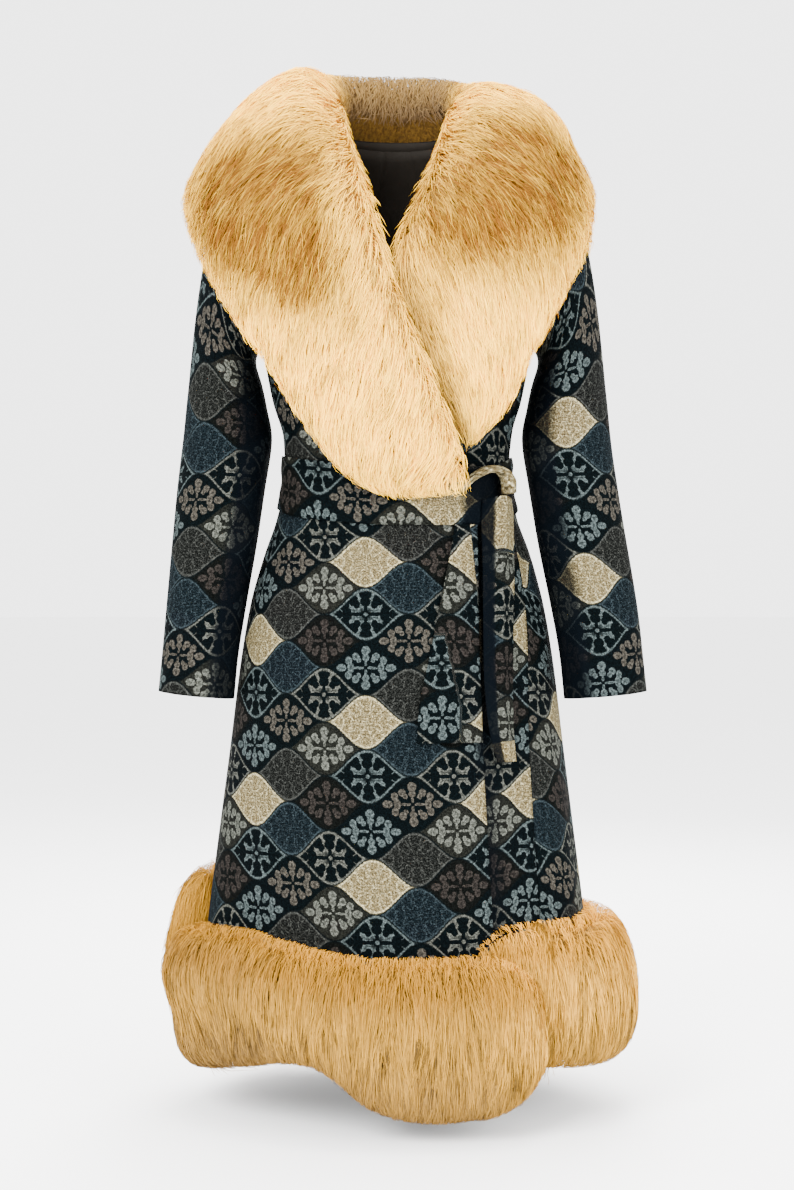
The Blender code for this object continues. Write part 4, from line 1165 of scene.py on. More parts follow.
def fur_pad(name, node, material, inset, ends_round):
    """The skin below the hair: the solid's form, remeshed and drawn in where hair will cover it."""
    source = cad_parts[node]
    mesh = source.data.copy()
    thing = bpy.data.objects.new(name, mesh)
    bpy.context.scene.collection.objects.link(thing)
    mesh.materials.clear()
    remesh = thing.modifiers.new("Remesh", "REMESH")
    remesh.mode = "VOXEL"
    remesh.voxel_size = PAD_VOXEL
    smooth = thing.modifiers.new("Smooth", "SMOOTH")
    smooth.iterations = 6
    reader = bpy.context.evaluated_depsgraph_get()
    done = bpy.data.meshes.new_from_object(thing.evaluated_get(reader))
    thing.modifiers.clear()
    thing.data = done
    count = len(done.vertices)
    co = np.zeros(count * 3, np.float32)
    done.vertices.foreach_get("co", co)
    co = co.reshape(-1, 3)
    normals = np.zeros(count * 3, np.float32)
    done.vertices.foreach_get("normal", normals)
    normals = normals.reshape(-1, 3)
    tree = BVHTree.FromPolygons([Vector(p) for p in co], [tuple(f.vertices) for f in done.polygons])
    thick = np.full(count, 0.2)
    for i in range(count):
        point, normal = Vector(co[i]), Vector(normals[i])
        hit = tree.ray_cast(point - normal * 0.0015, -normal, 0.2)
        if hit[0] is not None:
            thick[i] = hit[3]
    if ends_round:
        round_it = unit(np.stack((-co[:, 1], co[:, 0], 0 * co[:, 0]), -1))
        moves = normals - round_it * (normals * round_it).sum(1, keepdims=True)
    else:
        moves = normals.copy()
        moves[:, 0] *= ease(np.abs(co[:, 0]) / 0.03)
        nearly = (1 - ease(np.abs(co[:, 0]) / 0.016)) * (co[:, 1] > 0)
        co[:, 0] -= np.sign(co[:, 0].sum()) * 0.004 * nearly
    co = co - moves * np.minimum(inset, thick * 0.3)[:, None]
    done.vertices.foreach_set("co", co.ravel())
    # Painted shade on the collar's pad inside the neck, never below PAD_LEAST_LIGHT; the hem's pads
    # get none.
    light = np.ones(count) if ends_round else read_light(co, False, ease(0.5 - normals[:, 1] * 2))
    light = np.maximum(light, PAD_LEAST_LIGHT)
    layer = done.attributes.new("light", "FLOAT", "POINT")
    layer.data.foreach_set("value", light.astype(np.float32))
    done.update()
    done.shade_smooth()
    done.materials.clear()
    done.materials.append(material)
    return thing


def move_vertices(thing, move):
    """Moves a mesh's vertices to where move says."""
    flat = np.zeros(len(thing.data.vertices) * 3, np.float32)
    thing.data.vertices.foreach_get("co", flat)
    thing.data.vertices.foreach_set("co", move(flat.reshape(-1, 3)).ravel())


def sample_grid(points, count, chance):
    """Even random places on a grid surface, each a row and a column with fractions."""
    a = points[1:, :-1] - points[:-1, :-1]
    b = points[:-1, 1:] - points[:-1, :-1]
    area = np.linalg.norm(np.cross(a, b), axis=2)
    pick = chance.choice(area.size, count, p=area.ravel() / area.sum())
    i, j = np.unravel_index(pick, area.shape)
    s, t = chance.random(count), chance.random(count)
    return i + s, j + t


def read_grid(values, i, j):
    i0 = np.minimum(i.astype(int), values.shape[0] - 2)
    j0 = np.minimum(j.astype(int), values.shape[1] - 2)
    s, t = (i - i0)[:, None], (j - j0)[:, None]
    return ((values[i0, j0] * (1 - t) + values[i0, j0 + 1] * t) * (1 - s)
            + (values[i0 + 1, j0] * (1 - t) + values[i0 + 1, j0 + 1] * t) * s)


class HairCoat:
    """A surface that hair is combed over: its places, its normals and the way that the hair lies."""

    def __init__(self, grid, normal, flow):
        self.grid, self.normal, self.flow = grid, normal, flow
        self.by_row = np.gradient(grid, axis=0)
        self.by_column = np.gradient(grid, axis=1)
        self.last = (grid.shape[0] - 1, grid.shape[1] - 1)

    def read(self, values, i, j):
        return read_grid(values, np.clip(i, 0, self.last[0]), np.clip(j, 0, self.last[1]))

    def place(self, i, j):
        """A place on the surface, or straight on from its edge."""
        over_i = (i - np.clip(i, 0, self.last[0]))[:, None]
        over_j = (j - np.clip(j, 0, self.last[1]))[:, None]
        return (self.read(self.grid, i, j) + over_i * self.read(self.by_row, i, j)
                + over_j * self.read(self.by_column, i, j))

    def walk(self, i, j, way, distance):
        """Row and column after going that way over the surface."""
        a_row, a_column = self.read(self.by_row, i, j), self.read(self.by_column, i, j)
        a = (a_row * a_row).sum(1)
        b = (a_row * a_column).sum(1)
        c = (a_column * a_column).sum(1)
        p, q = (way * a_row).sum(1), (way * a_column).sum(1)
        whole = np.maximum(a * c - b * b, 1e-12)
        by_row = np.clip((c * p - b * q) / whole * distance, -12, 12)
        by_column = np.clip((a * q - b * p) / whole * distance, -12, 12)
        return i + by_row, j + by_column


def comb(coat, i, j, sunk, length, chance, height, droop, wrap, stray, clumps, hold):
    """Hair lines that start below the surface, follow it, droop and gather in locks."""
    count = len(i)
    down = np.array((0.0, 0.0, -1.0))
    n = unit(coat.read(coat.normal, i, j))
    wrap, stray, hold = [np.broadcast_to(one, (count,))[:, None] for one in (wrap, stray, hold)]
    way = unit(coat.read(coat.flow, i, j) + chance.normal(0, 1, (count, 3)) * stray)
    curl = chance.normal(0, 1, (count, 3)) * stray * 0.7
    rise = height * (0.1 + 1.1 * chance.random(count)) - 0.003
    top = coat.place(i, j)
    points = [top - n * sunk[:, None]]
    here, at_i, at_j = top, i, j
    for share, lifted in ((0.36, 0.45), (0.34, 0.9), (0.30, 1.0)):
        step = length * share
        to_i, to_j = coat.walk(at_i, at_j, way, step)
        to_n = unit(coat.read(coat.normal, to_i, to_j))
        straight = here + way * step[:, None]
        around = coat.place(to_i, to_j)
        here = straight * (1 - wrap) + around * wrap
        points.append(here + to_n * (rise * lifted)[:, None])
        at_i, at_j = to_i, to_j
        way = unit(way * 0.45 + coat.read(coat.flow, at_i, at_j) * 0.6 + down * droop + curl)
    lines = np.stack(points, 1)
    roots = lines[:, 0]
    hold = hold[:, 0]
    for leaders in (max(int(count * clumps), 4), max(int(count * clumps * 4), 8)):
        tree = KDTree(leaders)
        for k in range(leaders):
            tree.insert(roots[k], k)
        tree.balance()
        lead = np.array([tree.find(p)[1] for p in roots])
        amount = hold * (0.4 + 0.6 * chance.random(count))
        led = lines[lead].copy()
        for k, share in ((1, 0.15), (2, 0.55), (3, 1.0)):
            lines[:, k] += (led[:, k] - lines[:, k]) * (amount * share)[:, None]
    return lines, unit(n + unit(coat.read(coat.normal, at_i, at_j)) * 0.5), lead


def hair_piece(name, lines, normals, width, data, material):
    """Tapered ribbons, one for each hair line. data is tone, honey and light."""
    count = len(lines)
    chance = np.random.default_rng(len(name) * 31)
    along = unit(np.gradient(lines, axis=1))
    side = unit(np.cross(along, normals[:, None]))
    over = np.cross(side, along)
    twist = chance.uniform(-0.9, 0.9, (count, 1, 1))
    side = side * np.cos(twist) + over * np.sin(twist)
    half = width[:, None, None] / 2 * np.array((1.0, 1.0, 0.72))[None, :, None]
    left = lines[:, :3] - side[:, :3] * half
    right = lines[:, :3] + side[:, :3] * half
    points = np.concatenate((np.stack((left, right), 2).reshape(count, 6, 3), lines[:, 3:]), 1)
    pattern = np.array((0, 1, 3, 2, 2, 3, 5, 4, 4, 5, 6))
    corners = (pattern[None] + 7 * np.arange(count)[:, None]).ravel()
    sizes = np.tile((4, 4, 3), count)
    thing = make_mesh(name, points.reshape(-1, 3), corners, sizes)
    tint = thing.data.attributes.new("hair", "FLOAT_COLOR", "POINT")
    values = np.ones((count, 7, 4), np.float32)
    values[:, :, 0] = np.array((0, 0, 0.36, 0.36, 0.70, 0.70, 1.0))
    values[:, :, 1] = data[:, 0][:, None]
    values[:, :, 2] = data[:, 1][:, None]
    values[:, :, 3] = data[:, 2][:, None]
    tint.data.foreach_set("color", values.ravel())
    wide = int(np.ceil(np.sqrt(count)))
    cell = 1.0 / wide
    corner_x = np.array((0.1, 0.9, 0.1, 0.9, 0.1, 0.9, 0.5)) * cell
    corner_y = np.array((0.1, 0.1, 0.38, 0.38, 0.66, 0.66, 0.92)) * cell
    number = np.arange(count)
    u = (number % wide)[:, None] * cell + corner_x
    v = (number // wide)[:, None] * cell + corner_y
    layer = thing.data.uv_layers.new(name="OFBake")
    uv = np.stack((u, v), -1).reshape(-1, 2)
    layer.uv.foreach_set("vector", uv[corners].astype(np.float32).ravel())
    thing.data.materials.append(material)
    return thing


def collar_grid(rows, side):
    """The collar's covered face, from its root over the crown and edge to the tuck."""
    table = np.array(list(COLLAR_BACK) + list(rows))
    tracks = [through(table[:, c:c + 3], COLLAR_STEPS) for c in (0, 3, 6, 9)]
    root, crown, edge, tuck = tracks
    size = np.linalg.norm(crown - root, axis=1, keepdims=True)
    inner = root + (crown - root) * 0.45 + unit(root - tuck) * size * 0.16
    full = unit((crown + edge) / 2 - (tuck * 0.6 + root * 0.4))
    spread = np.linalg.norm(edge - crown, axis=1, keepdims=True)
    shoulder = (crown + edge) / 2 + full * spread * COLLAR_FULLNESS
    lines = []
    for i in range(len(root)):
        places = [root[i], inner[i], crown[i], shoulder[i], edge[i], tuck[i]]
        lines.append(through(places, COLLAR_FINE))
    grid = np.array(lines)
    grid[..., 0] *= side
    return grid


def settle(points, side):
    """The wearer's left half of the collar lies a little lower and closer on its shoulder."""
    if side < 0:
        return points
    x, z = points[..., 0], points[..., 2]
    crest = np.exp(-((x - 0.125) / 0.050) ** 2) * ease((z - 0.0) / 0.07)
    wide = ease((x - 0.17) / 0.05) * ease((0.03 - z) / 0.05)
    settled = points.copy()
    settled[..., 2] -= 0.019 * crest
    settled[..., 0] -= 0.010 * wide
    return settled


def build_collar(name, rows, side, count):
    """One half of the collar: its pad, and hair combed from the neck over the shoulder."""
    sizes, colours = bpy.context.scene.coat_sizes, bpy.context.scene.coat_colours
    chance = np.random.default_rng(11 if side < 0 else 12)
    pad = fur_pad(name + "_pad", name, pad_material("fur_pad_pale", *COLLAR_PAD), 0.011, False)
    move_vertices(pad, lambda points: settle(points, side))
    finish_piece(pad, "long_fur", name)
    fine = COLLAR_FINE
    grid = settle(collar_grid(rows, side), side)
    down = np.gradient(grid, axis=0)
    across = unit(np.gradient(grid, axis=1))
    normal = unit(np.cross(across, down)) * side
    if (normal[:, 2 * fine] * (grid[:, 2 * fine] - grid[:, 5 * fine])).sum() < 0:
        normal = -normal
    row = np.arange(len(grid))[:, None, None] / COLLAR_STEPS
    column = np.arange(grid.shape[1])[None, :, None] / fine
    lapel = ease((row - 3.2) / 3.5)
    hang = np.array((0.0, 0.0, -1.0)) - normal * (-normal[..., 2:3])
    flow = across * (1.0 - 0.62 * lapel) + hang * (0.15 + 0.85 * lapel)
    waves = np.sin(row * 7.3 + 2.1 * np.sin(row * 1.7) + column * 1.9)
    waves = waves + 0.7 * np.sin(row * 17.0 - column * 3.1 + 1.5 * np.sin(column * 2.3))
    flow = unit(flow) + unit(down) * waves * 0.16
    inner = ease((1.1 - column) / 0.9) * ease((row - 2.6) / 1.2)
    flow = flow * (1 - inner) + (unit(down) * 0.9 + hang * 0.5 - across * 0.18) * inner
    coat = HairCoat(grid, normal, unit(flow))
    thick = np.minimum(0.015, 0.4 * np.linalg.norm(grid[:, 2 * fine] - grid[:, 5 * fine], axis=1))
    i, j = sample_grid(grid, count, chance)
    where = read_grid(grid, i, j)
    depth = np.interp(i, np.arange(len(grid)), thick)
    sunk = depth * (0.45 + 0.6 * chance.random(count))
    steps = np.linalg.norm(np.diff(grid, axis=1), axis=2)
    run = np.concatenate((np.zeros((len(grid), 1)), np.cumsum(steps, 1)), 1)
    left = read_grid((run[:, [4 * fine]] - run)[..., None], i, j)[:, 0]
    length = sizes.collar_hair * (0.62 + 0.6 * chance.random(count))
    length = length * (0.50 + 0.50 * ease((left + 0.004) / 0.05))
    near_root = ease((1.25 - j / fine) / 1.1)
    low = ease((i / COLLAR_STEPS - 3.2) / 3.5)
    length = length * (1 - 0.45 * near_root) * (0.78 + 0.22 * low)
    lines, n, lead = comb(coat, i, j, sunk, length, chance, height=0.0055, droop=0.14,
                          wrap=0.80 + 0.18 * near_root - 0.38 * ease(1 - left / 0.030),
                          stray=0.44 - 0.18 * low + 0.14 * ease(1 - left / 0.035),
                          clumps=0.03, hold=(0.22 + 0.16 * low) * (1 - 0.8 * near_root))
    clump_tone = chance.normal(0, 1, count)[lead]
    mottle = read_grid(np.broadcast_to(waves, grid.shape[:2] + (1,)), i, j)[:, 0]
    tone = 0.63 + 0.08 * chance.normal(0, 1, count) + 0.17 * clump_tone + 0.05 * mottle
    # Hairs rooted deeper are darker: painted shade between the hairs.
    tone = np.clip(tone - 0.22 * (sunk / np.maximum(depth, 1e-4) - 0.75), 0, 1)
    # Painted shade inside the neck and on the under lapel beside the other lapel's edge.
    light = read_light(where, name == "collar_under", 1 - ease((j / fine - 1.9) / 0.8))
    honey = honey_patch(where) * (1 + 0.16 * clump_tone) + 0.07 * clump_tone
    honey = honey + 0.08 * chance.normal(0, 1, count)
    # Hair in painted shade also turns towards honey.
    honey = np.clip(honey + 0.3 * np.maximum(1 - light, 0), 0, 1)
    hair = hair_piece(name + "_hair", lines, n, chance.uniform(0.0006, 0.0011, count),
                      np.stack((tone, honey, light), -1),
                      fur_material("collar_hair", colours.collar_root, colours.collar_tip,
                                   colours.honey, colours.fur_shade))
    finish_piece(hair, "long_fur")


def read_light(where, under, inward):
    """Painted light and shade: hair inside the neck, and below the lapel that lies on top, is darker
    than the rest, which is a little brighter than its colour.
    """
    x, y, z = where[:, 0], where[:, 1], where[:, 2]
    inside = ease((0.085 - np.abs(x)) / 0.03) * ease((y + 0.035) / 0.03) * inward
    light = 1.10 - inside * (0.90 + 0.18 * ease((0.090 - z) / 0.06))
    if under:
        edge = np.interp(-z, (0.161, 0.214, 0.288, 0.350, 0.411, 0.448),
                         (-0.017, 0.004, 0.035, 0.059, 0.084, 0.086))
        beside = (1 - ease((x - edge) / 0.045)) * ease((-0.10 - z) / 0.06) * ease((-0.02 - y) / 0.03)
        light = light * (1 - 0.62 * beside)
    return light


def honey_patch(where):
    """Warm patches: a wide one on each shoulder, and smaller ones down the lapels."""
    x, y, z = where[:, 0], where[:, 1], where[:, 2]
    total = np.zeros(len(where))
    for cx, cz, rx, rz, amount in (
            (-0.175, -0.055, 0.085, 0.060, 1.1), (-0.200, -0.120, 0.055, 0.060, 0.8),
            (-0.150, -0.125, 0.070, 0.060, 0.9), (-0.105, -0.180, 0.045, 0.048, 1.1),
            (-0.105, -0.045, 0.035, 0.050, 0.4), (-0.050, -0.235, 0.022, 0.030, 0.25),
            (0.150, -0.020, 0.080, 0.055, 1.0), (0.105, -0.085, 0.070, 0.055, 0.9),
            (0.195, -0.075, 0.055, 0.065, 0.8), (0.055, -0.120, 0.045, 0.050, 0.7),
            (0.130, -0.150, 0.070, 0.040, 0.6), (0.035, -0.215, 0.028, 0.040, 0.40),
            (0.0, 0.085, 0.090, 0.030, 0.2)):
        total += amount * np.exp(-((x - cx) / rx) ** 2 - ((z - cz) / rz) ** 2)
    # Behind the neck the hair gets a set honey, most low down, as part of the painted shade inside the
    # neck.
    behind = ease((y - 0.05) / 0.08)
    total = total * (1 - behind) + behind * (0.25 + 0.35 * np.exp(-((z - 0.02) / 0.05) ** 2))
    return np.clip(total, 0, 1) * 0.92


def no_lift(angle):
    return np.zeros_like(angle)


def hem_grid(rows, lift):
    """A strip's covered face, from its top edge over the front to its lower edge."""
    first, last = rows[0][0] + HEM_TRIM, rows[-1][0] - HEM_TRIM
    angle = np.append(np.arange(first, last, HEM_STEP), last)
    table = read_rows(rows, angle)
    top, bottom, proud = table[:, 0], table[:, 1], table[:, 2]
    middle, half = (top + bottom) / 2, (top - bottom) / 2
    turn = np.linspace(0.02, pi - 0.02, 28)
    level = middle[:, None] + half[:, None] * np.cos(turn)
    out = (HEM_CLEAR + lift(angle))[:, None] + proud[:, None] * np.sin(turn) ** 0.62
    return body(level, np.broadcast_to(angle[:, None], level.shape), out), table, angle


def hem_corner(points):
    """Rounds the strip's lower corner at the wearer's right, and its lower edge in front."""
    x, y, z = points[..., 0], points[..., 1], points[..., 2]
    settled = points.copy()
    settled[..., 0] += 0.022 * ease((-0.13 - x) / 0.10) * ease((-1.05 - z) / 0.08)
    low = np.exp(-((x + 0.095) / 0.045) ** 2) * ease((-1.09 - z) / 0.07)
    settled[..., 2] += 0.020 * low * (y < 0.02)
    return settled


def end_grid(grid, angle, round_it, lift):
    """The hairy end of a strip, from its inner side to its outer, rounded."""
    share = np.linspace(0, 1, 8)[:, None, None]
    base = 0.001 + lift(np.array([angle]))[0]
    inside = body(grid[:, 2], np.full(len(grid), angle), np.full(len(grid), base))
    return inside + (grid - inside) * share + round_it * 0.010 * np.sin(share * pi) ** 0.7


def over_lift(angle):
    under = read_rows(HEM_UNDER, np.maximum(angle, HEM_UNDER[0][0]))[:, 2]
    start = HEM_UNDER[0][0] - 6.0
    return (under + 0.004) * ease((angle - start) / 5.0)


def end_hair(patch, ahead, count, chance):
    """Hair over the end of a strip: its lines, their normals, widths and tints."""
    fall = unit(np.gradient(patch, axis=1)) + ahead * 0.15
    coat = HairCoat(patch, np.broadcast_to(ahead, patch.shape), unit(fall))
    i, j = sample_grid(patch, count, chance)
    lines, n, _ = comb(coat, i, j, 0.006 * chance.random(count),
                       0.034 * (0.6 + 0.7 * chance.random(count)), chance, height=0.005,
                       droop=0.10, wrap=0.75, stray=0.25, clumps=0.04, hold=0.22)
    width = chance.uniform(0.0005, 0.0010, count)
    tone = 0.60 + 0.12 * chance.normal(0, 1, count)
    honey = 0.55 + 0.2 * chance.normal(0, 1, count)
    # Painted light: the hair over a strip's end is made a little brighter.
    data = np.stack((tone, honey, np.full(count, 1.15)), -1)
    return lines, n, width, np.clip(data, 0, 1.2)


def build_hem(name, rows, count, lift=no_lift):
    """One strip of the hem: its pad, and hair that falls from its top edge."""
    sizes, colours = bpy.context.scene.coat_sizes, bpy.context.scene.coat_colours
    chance = np.random.default_rng(len(name))
    inset = 0.004 if name == "hem_fur_under" else 0.012
    pad = fur_pad(name + "_pad", name, pad_material("fur_pad_gold", *HEM_PAD), inset, True)
    finish_piece(pad, "long_fur", name)
    move_vertices(pad, hem_corner)
    grid, table, angle = hem_grid(rows, lift)
    raw_ends = (grid[0].copy(), grid[-1].copy())
    grid = hem_corner(grid)
    down = np.gradient(grid, axis=1)
    across = np.gradient(grid, axis=0)
    normal = unit(np.cross(down, across))
    outward = grid * np.array((1.0, 1.0, 0.0))
    normal = normal * np.sign((normal * outward).sum(-1).sum())
    share = np.linspace(0, 1, grid.shape[1])[None, :, None]
    puff = ease((0.10 - share) / 0.07)
    place = np.arange(len(grid))[:, None, None] * HEM_STEP
    waves = np.sin(place * 0.33 + 2.3 * np.sin(place * 0.071) + share * 5.0)
    waves = waves + 0.7 * np.sin(place * 0.9 - share * 9.0 + 1.4 * np.sin(share * 7.0))
    flow = unit(unit(down) * (1 - 2.1 * puff) + normal * 0.35 * puff
                + np.array((0.0, 0.0, -0.25)) * (1 - puff))
    coat = HairCoat(grid, normal, unit(flow + unit(across) * waves * 0.13))
    i, j = sample_grid(grid, count, chance)
    share = np.clip(j / (grid.shape[1] - 1), 0, 1)
    proud = np.interp(i, np.arange(len(table)), table[:, 2])
    depth = np.minimum(0.018, proud * 0.4) + 0.006 * ease((share - 0.5) / 0.3)
    sunk = depth * (0.4 + 0.6 * chance.random(count))
    length = sizes.hem_hair * (0.62 + 0.65 * chance.random(count))
    length = length * (0.36 + 0.64 * ease((share - 0.02) / 0.25))
    length = length * (1 - 0.62 * ease((share - 0.55) / 0.3))
    lines, n, lead = comb(coat, i, j, sunk, length, chance, height=0.0055, droop=0.06,
                          wrap=0.80 + 0.17 * ease((share - 0.5) / 0.3),
                          stray=0.15 + 0.12 * ease((0.25 - share) / 0.2), clumps=0.035,
                          hold=0.16 + 0.26 * ease((share - 0.2) / 0.2))
    band = ease((0.32 - share) / 0.16) * 0.85 + 0.35 * ease((share - 0.72) / 0.2)
    # Locks in the middle of the strip differ more in tone, which partly stands for painted shade in
    # the gaps between them.
    gaps = np.exp(-((share - 0.50) / 0.18) ** 2)
    clump_tone = chance.normal(0, 1, count)[lead]
    mottle = read_grid(np.broadcast_to(waves, grid.shape[:2] + (1,)), i, j)[:, 0]
    tone = 0.60 + 0.06 * chance.normal(0, 1, count) + (0.09 + 0.27 * gaps) * clump_tone
    tone = tone + 0.06 * mottle
    tone = tone - 0.14 * ease((share - 0.70) / 0.2) + 0.12 * ease((0.12 - share) / 0.1)
    # Hairs rooted deeper are darker: painted shade between the hairs.
    tone = np.clip(tone - 0.30 * (sunk / np.maximum(depth, 1e-4) - 0.7), 0, 1)
    honey = np.clip(band + 0.10 * chance.normal(0, 1, count), 0, 1)
    where = read_grid(grid, i, j)
    x = where[:, 0]
    # Painted light and shade: brighter on the wearer's left, darker on the right, brighter along the
    # top rows and darker lower down.
    light = 0.92 + 0.50 * ease((x - 0.10) / 0.06) - 0.16 * ease((-0.14 - x) / 0.05)
    light = light * (1 + 0.75 * ease((0.14 - share) / 0.1))
    light = light * (1 - 0.42 * ease((share - 0.40) / 0.3))
    width = chance.uniform(0.0006, 0.0012, count) * (1 - 0.35 * ease((0.14 - share) / 0.1))
    data = np.stack((tone, honey, light), -1)
    whole = [(lines, n, width, data)]
    for k in HAIRY_ENDS[name]:
        ahead = unit(across[k].mean(0)) * (1 if k else -1)
        patch = hem_corner(end_grid(raw_ends[k], angle[k], ahead, lift))
        whole.append(end_hair(patch, ahead, count // 8, chance))
    lines, n, width, data = [np.concatenate(one) for one in zip(*whole)]
    hair = hair_piece(name + "_hair", lines, n, width, data,
                      fur_material("hem_hair", colours.hem_root, colours.hem_tip, colours.hem_band,
                                   colours.hem_shade))
    finish_piece(hair, "long_fur")


# Stage
FLOOR_LEVEL = -1.245
CAMERA_DISTANCE = 2.7
PIXELS_A_METRE = 770
PHOTO_HEIGHT = 1190


def build_stage():
    build_floor()
    for name, place, target, size, power in (
            ("key_light", (-1.8, -3.0, 1.3), (0, 0, -0.6), 2.2, 420),
            ("fill_light", (2.4, -2.6, 0.2), (0, 0, -0.6), 2.4, 220),
            ("top_light", (0.0, 0.6, 2.6), (0, 0, -0.4), 2.4, 235),
            ("back_light", (0.6, 2.0, 0.9), (0, 0, -0.6), 1.6, 135)):
        lamp = bpy.data.lights.new(name, "AREA")
        lamp.shape = "DISK"
        lamp.size = size
        lamp.energy = power
        thing = bpy.data.objects.new(name, lamp)
        thing.location = place
        thing.rotation_euler = (Vector(target) - Vector(place)).to_track_quat("-Z", "Y").to_euler()
        bpy.context.scene.collection.objects.link(thing)
    world = bpy.data.worlds.new("studio")
    world.use_nodes = True
    world.node_tree.nodes["Background"].inputs[0].default_value = (1.0, 1.0, 1.0, 1.0)
    world.node_tree.nodes["Background"].inputs[1].default_value = 3.9
    bpy.context.scene.world = world
    view = bpy.data.cameras.new("photo_view")
    view.sensor_fit = "VERTICAL"
    view.sensor_height = 36.0
    view.lens = PIXELS_A_METRE * CAMERA_DISTANCE / PHOTO_HEIGHT * view.sensor_height
    camera = bpy.data.objects.new("photo_view", view)
    camera.location = (0.0, -CAMERA_DISTANCE, -0.59)
    camera.rotation_euler = (pi / 2, 0, 0)
    bpy.context.scene.collection.objects.link(camera)
    bpy.context.scene.camera = camera


def build_floor():
    """A wide flat disc, so that every view has a plain ground."""
    turn = np.linspace(0, 2 * pi, 96, endpoint=False)
    rings = [np.stack((reach * np.cos(turn), reach * np.sin(turn), 0 * turn + FLOOR_LEVEL), -1)
             for reach in (1.0, 4.0, 12.0, 60.0)]
    index = np.arange(len(rings) * len(turn)).reshape(len(rings), len(turn))
    nxt = np.roll(index, -1, 1)
    quads = np.stack((index[:-1], index[1:], nxt[1:], nxt[:-1]), -1).reshape(-1, 4)
    corners = np.concatenate((quads.ravel(), index[0]))
    sizes = np.append(np.full(len(quads), 4), len(turn))
    floor = make_mesh("floor", np.concatenate(rings), corners, sizes)
    material, t, shader = new_material("pale_floor")
    t.link(t.mix(t.noise(t.add("ShaderNodeTexCoord").outputs["Object"], 3.0), (0.90, 0.90, 0.90),
                 (0.92, 0.92, 0.92)), shader.inputs["Base Color"])
    shader.inputs["Roughness"].default_value = 0.9
    floor.data.materials.append(material)


# Sizes and colours that a user would change
def colour(name, text, default):
    return FloatVectorProperty(name=name, description=text, default=default, subtype="COLOR",
                               min=0.0, max=1.0, size=3)


class CoatSizes(bpy.types.PropertyGroup):
    lattice_column: FloatProperty(name="Lattice column", default=0.0532, unit="LENGTH",
                                  description="Distance between the woven lattice's columns")
    lattice_cell: FloatProperty(name="Lattice cell", default=0.0668, unit="LENGTH",
                                description="Height of one cell of the woven lattice")
    collar_hair: FloatProperty(name="Collar hair", default=0.052, unit="LENGTH",
                               description="Length of the collar's hair")
    hem_hair: FloatProperty(name="Hem hair", default=0.062, unit="LENGTH",
                            description="Length of the hem's hair")
    collar_count: IntProperty(name="Collar hairs", default=31500,
                              description="Hairs on each half of the collar")
    hem_count: IntProperty(name="Hem hairs", default=30000,
                           description="Hairs on the back strip of the hem")


class CoatColours(bpy.types.PropertyGroup):
    lining: colour("Lining", "Colour of the lining", (0.012, 0.010, 0.008))
    collar_root: colour("Collar root", "Collar hair near the skin", (0.62, 0.29, 0.026))
    collar_tip: colour("Collar tip", "Collar hair at its tips", (1.0, 0.575, 0.036))
    hem_root: colour("Hem root", "Hem hair near the skin", (0.118, 0.063, 0.0135))
    hem_tip: colour("Hem tip", "Hem hair at its tips", (0.385, 0.196, 0.0195))
    honey: colour("Honey", "Warm patches of the collar", (0.118, 0.043, 0.0036))
    hem_band: colour("Hem band", "Smooth warm band at the top of the hem", (0.26, 0.115, 0.0070))
    fur_shade: colour("Fur shade", "Darkest hair of the collar", (0.14, 0.074, 0.022))
    hem_shade: colour("Hem shade", "Darkest hair of the hem", (0.062, 0.034, 0.010))


class COAT_OT_stage(bpy.types.Operator):
    """Set the pale floor, the soft lights and the camera"""
    bl_idname = "coat.stage"
    bl_label = "Stage"

    def execute(self, context):
        build_stage()
        return {"FINISHED"}


class COAT_OT_panels(bpy.types.Operator):
    """Build the back and the two fronts of woven tapestry"""
    bl_idname = "coat.panels"
    bl_label = "Back and fronts"

    def execute(self, context):
        build_cloth_panels()
        return {"FINISHED"}


class COAT_OT_sleeves(bpy.types.Operator):
    """Build both sleeves"""
    bl_idname = "coat.sleeves"
    bl_label = "Sleeves"

    def execute(self, context):
        build_sleeve("sleeve_left", 1, LEFT_CUFF_SWING)
        build_sleeve("sleeve_right", -1, 0.0)
        return {"FINISHED"}


class COAT_OT_lining(bpy.types.Operator):
    """Build the dark lining of the back"""
    bl_idname = "coat.lining"
    bl_label = "Lining"

    def execute(self, context):
        build_lining()
        return {"FINISHED"}


class COAT_OT_belt(bpy.types.Operator):
    """Build the belt: its band, its knot and its two tails"""
    bl_idname = "coat.belt"
    bl_label = "Belt"

    def execute(self, context):
        build_belt()
        return {"FINISHED"}


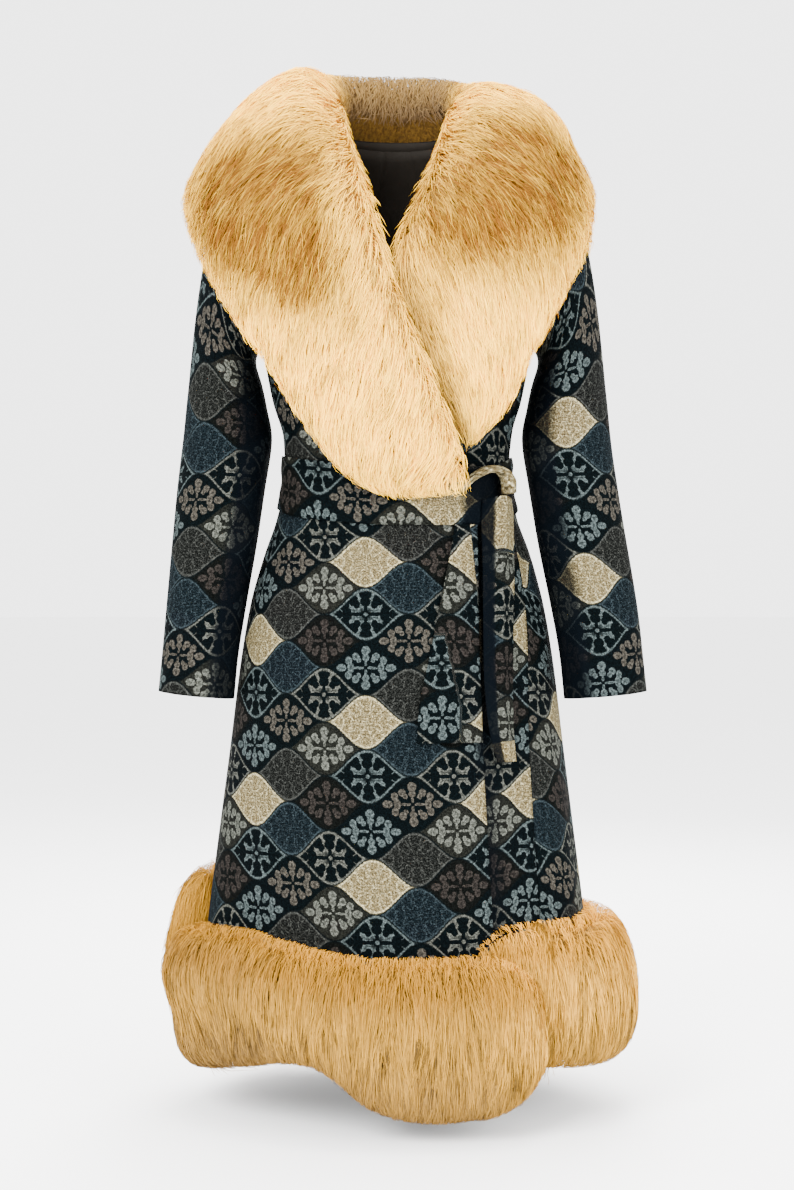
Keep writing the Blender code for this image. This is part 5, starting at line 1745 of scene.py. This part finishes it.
class COAT_OT_collar(bpy.types.Operator):
    """Build both halves of the fur collar"""
    bl_idname = "coat.collar"
    bl_label = "Fur collar"

    def execute(self, context):
        count = context.scene.coat_sizes.collar_count
        build_collar("collar_under", LAPEL_UNDER, 1, count)
        build_collar("collar_over", LAPEL_OVER, -1, count)
        return {"FINISHED"}


class COAT_OT_hem(bpy.types.Operator):
    """Build the three strips of the fur hem"""
    bl_idname = "coat.hem"
    bl_label = "Fur hem"

    def execute(self, context):
        count = context.scene.coat_sizes.hem_count
        build_hem("hem_fur_over", HEM_OVER, int(count * 0.80), over_lift)
        build_hem("hem_fur_under", HEM_UNDER, int(count * 0.10))
        build_hem("hem_fur_back", HEM_BACK, count)
        return {"FINISHED"}


class COAT_PT_panel(bpy.types.Panel):
    """The coat's pieces in the sidebar"""
    bl_label = "Tapestry coat"
    bl_idname = "COAT_PT_panel"
    bl_space_type = "VIEW_3D"
    bl_region_type = "UI"
    bl_category = "Coat"

    def draw(self, context):
        for group in (context.scene.coat_sizes, context.scene.coat_colours):
            for key in group.__annotations__:
                self.layout.prop(group, key)
        for step in STEPS:
            self.layout.operator(step.bl_idname)


STEPS = (COAT_OT_stage, COAT_OT_panels, COAT_OT_sleeves, COAT_OT_lining, COAT_OT_belt,
         COAT_OT_collar, COAT_OT_hem)
CLASSES = (CoatSizes, CoatColours) + STEPS + (COAT_PT_panel,)


def register():
    for one in CLASSES:
        bpy.utils.register_class(one)
    bpy.types.Scene.coat_sizes = PointerProperty(type=CoatSizes)
    bpy.types.Scene.coat_colours = PointerProperty(type=CoatColours)


def unregister():
    del bpy.types.Scene.coat_colours
    del bpy.types.Scene.coat_sizes
    for one in reversed(CLASSES):
        bpy.utils.unregister_class(one)


def main():
    register()
    bpy.ops.coat.stage()
    bpy.ops.coat.panels()
    bpy.ops.coat.sleeves()
    bpy.ops.coat.lining()
    bpy.ops.coat.belt()
    bpy.ops.coat.collar()
    bpy.ops.coat.hem()
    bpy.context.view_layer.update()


if __name__ == "__main__":
    main()
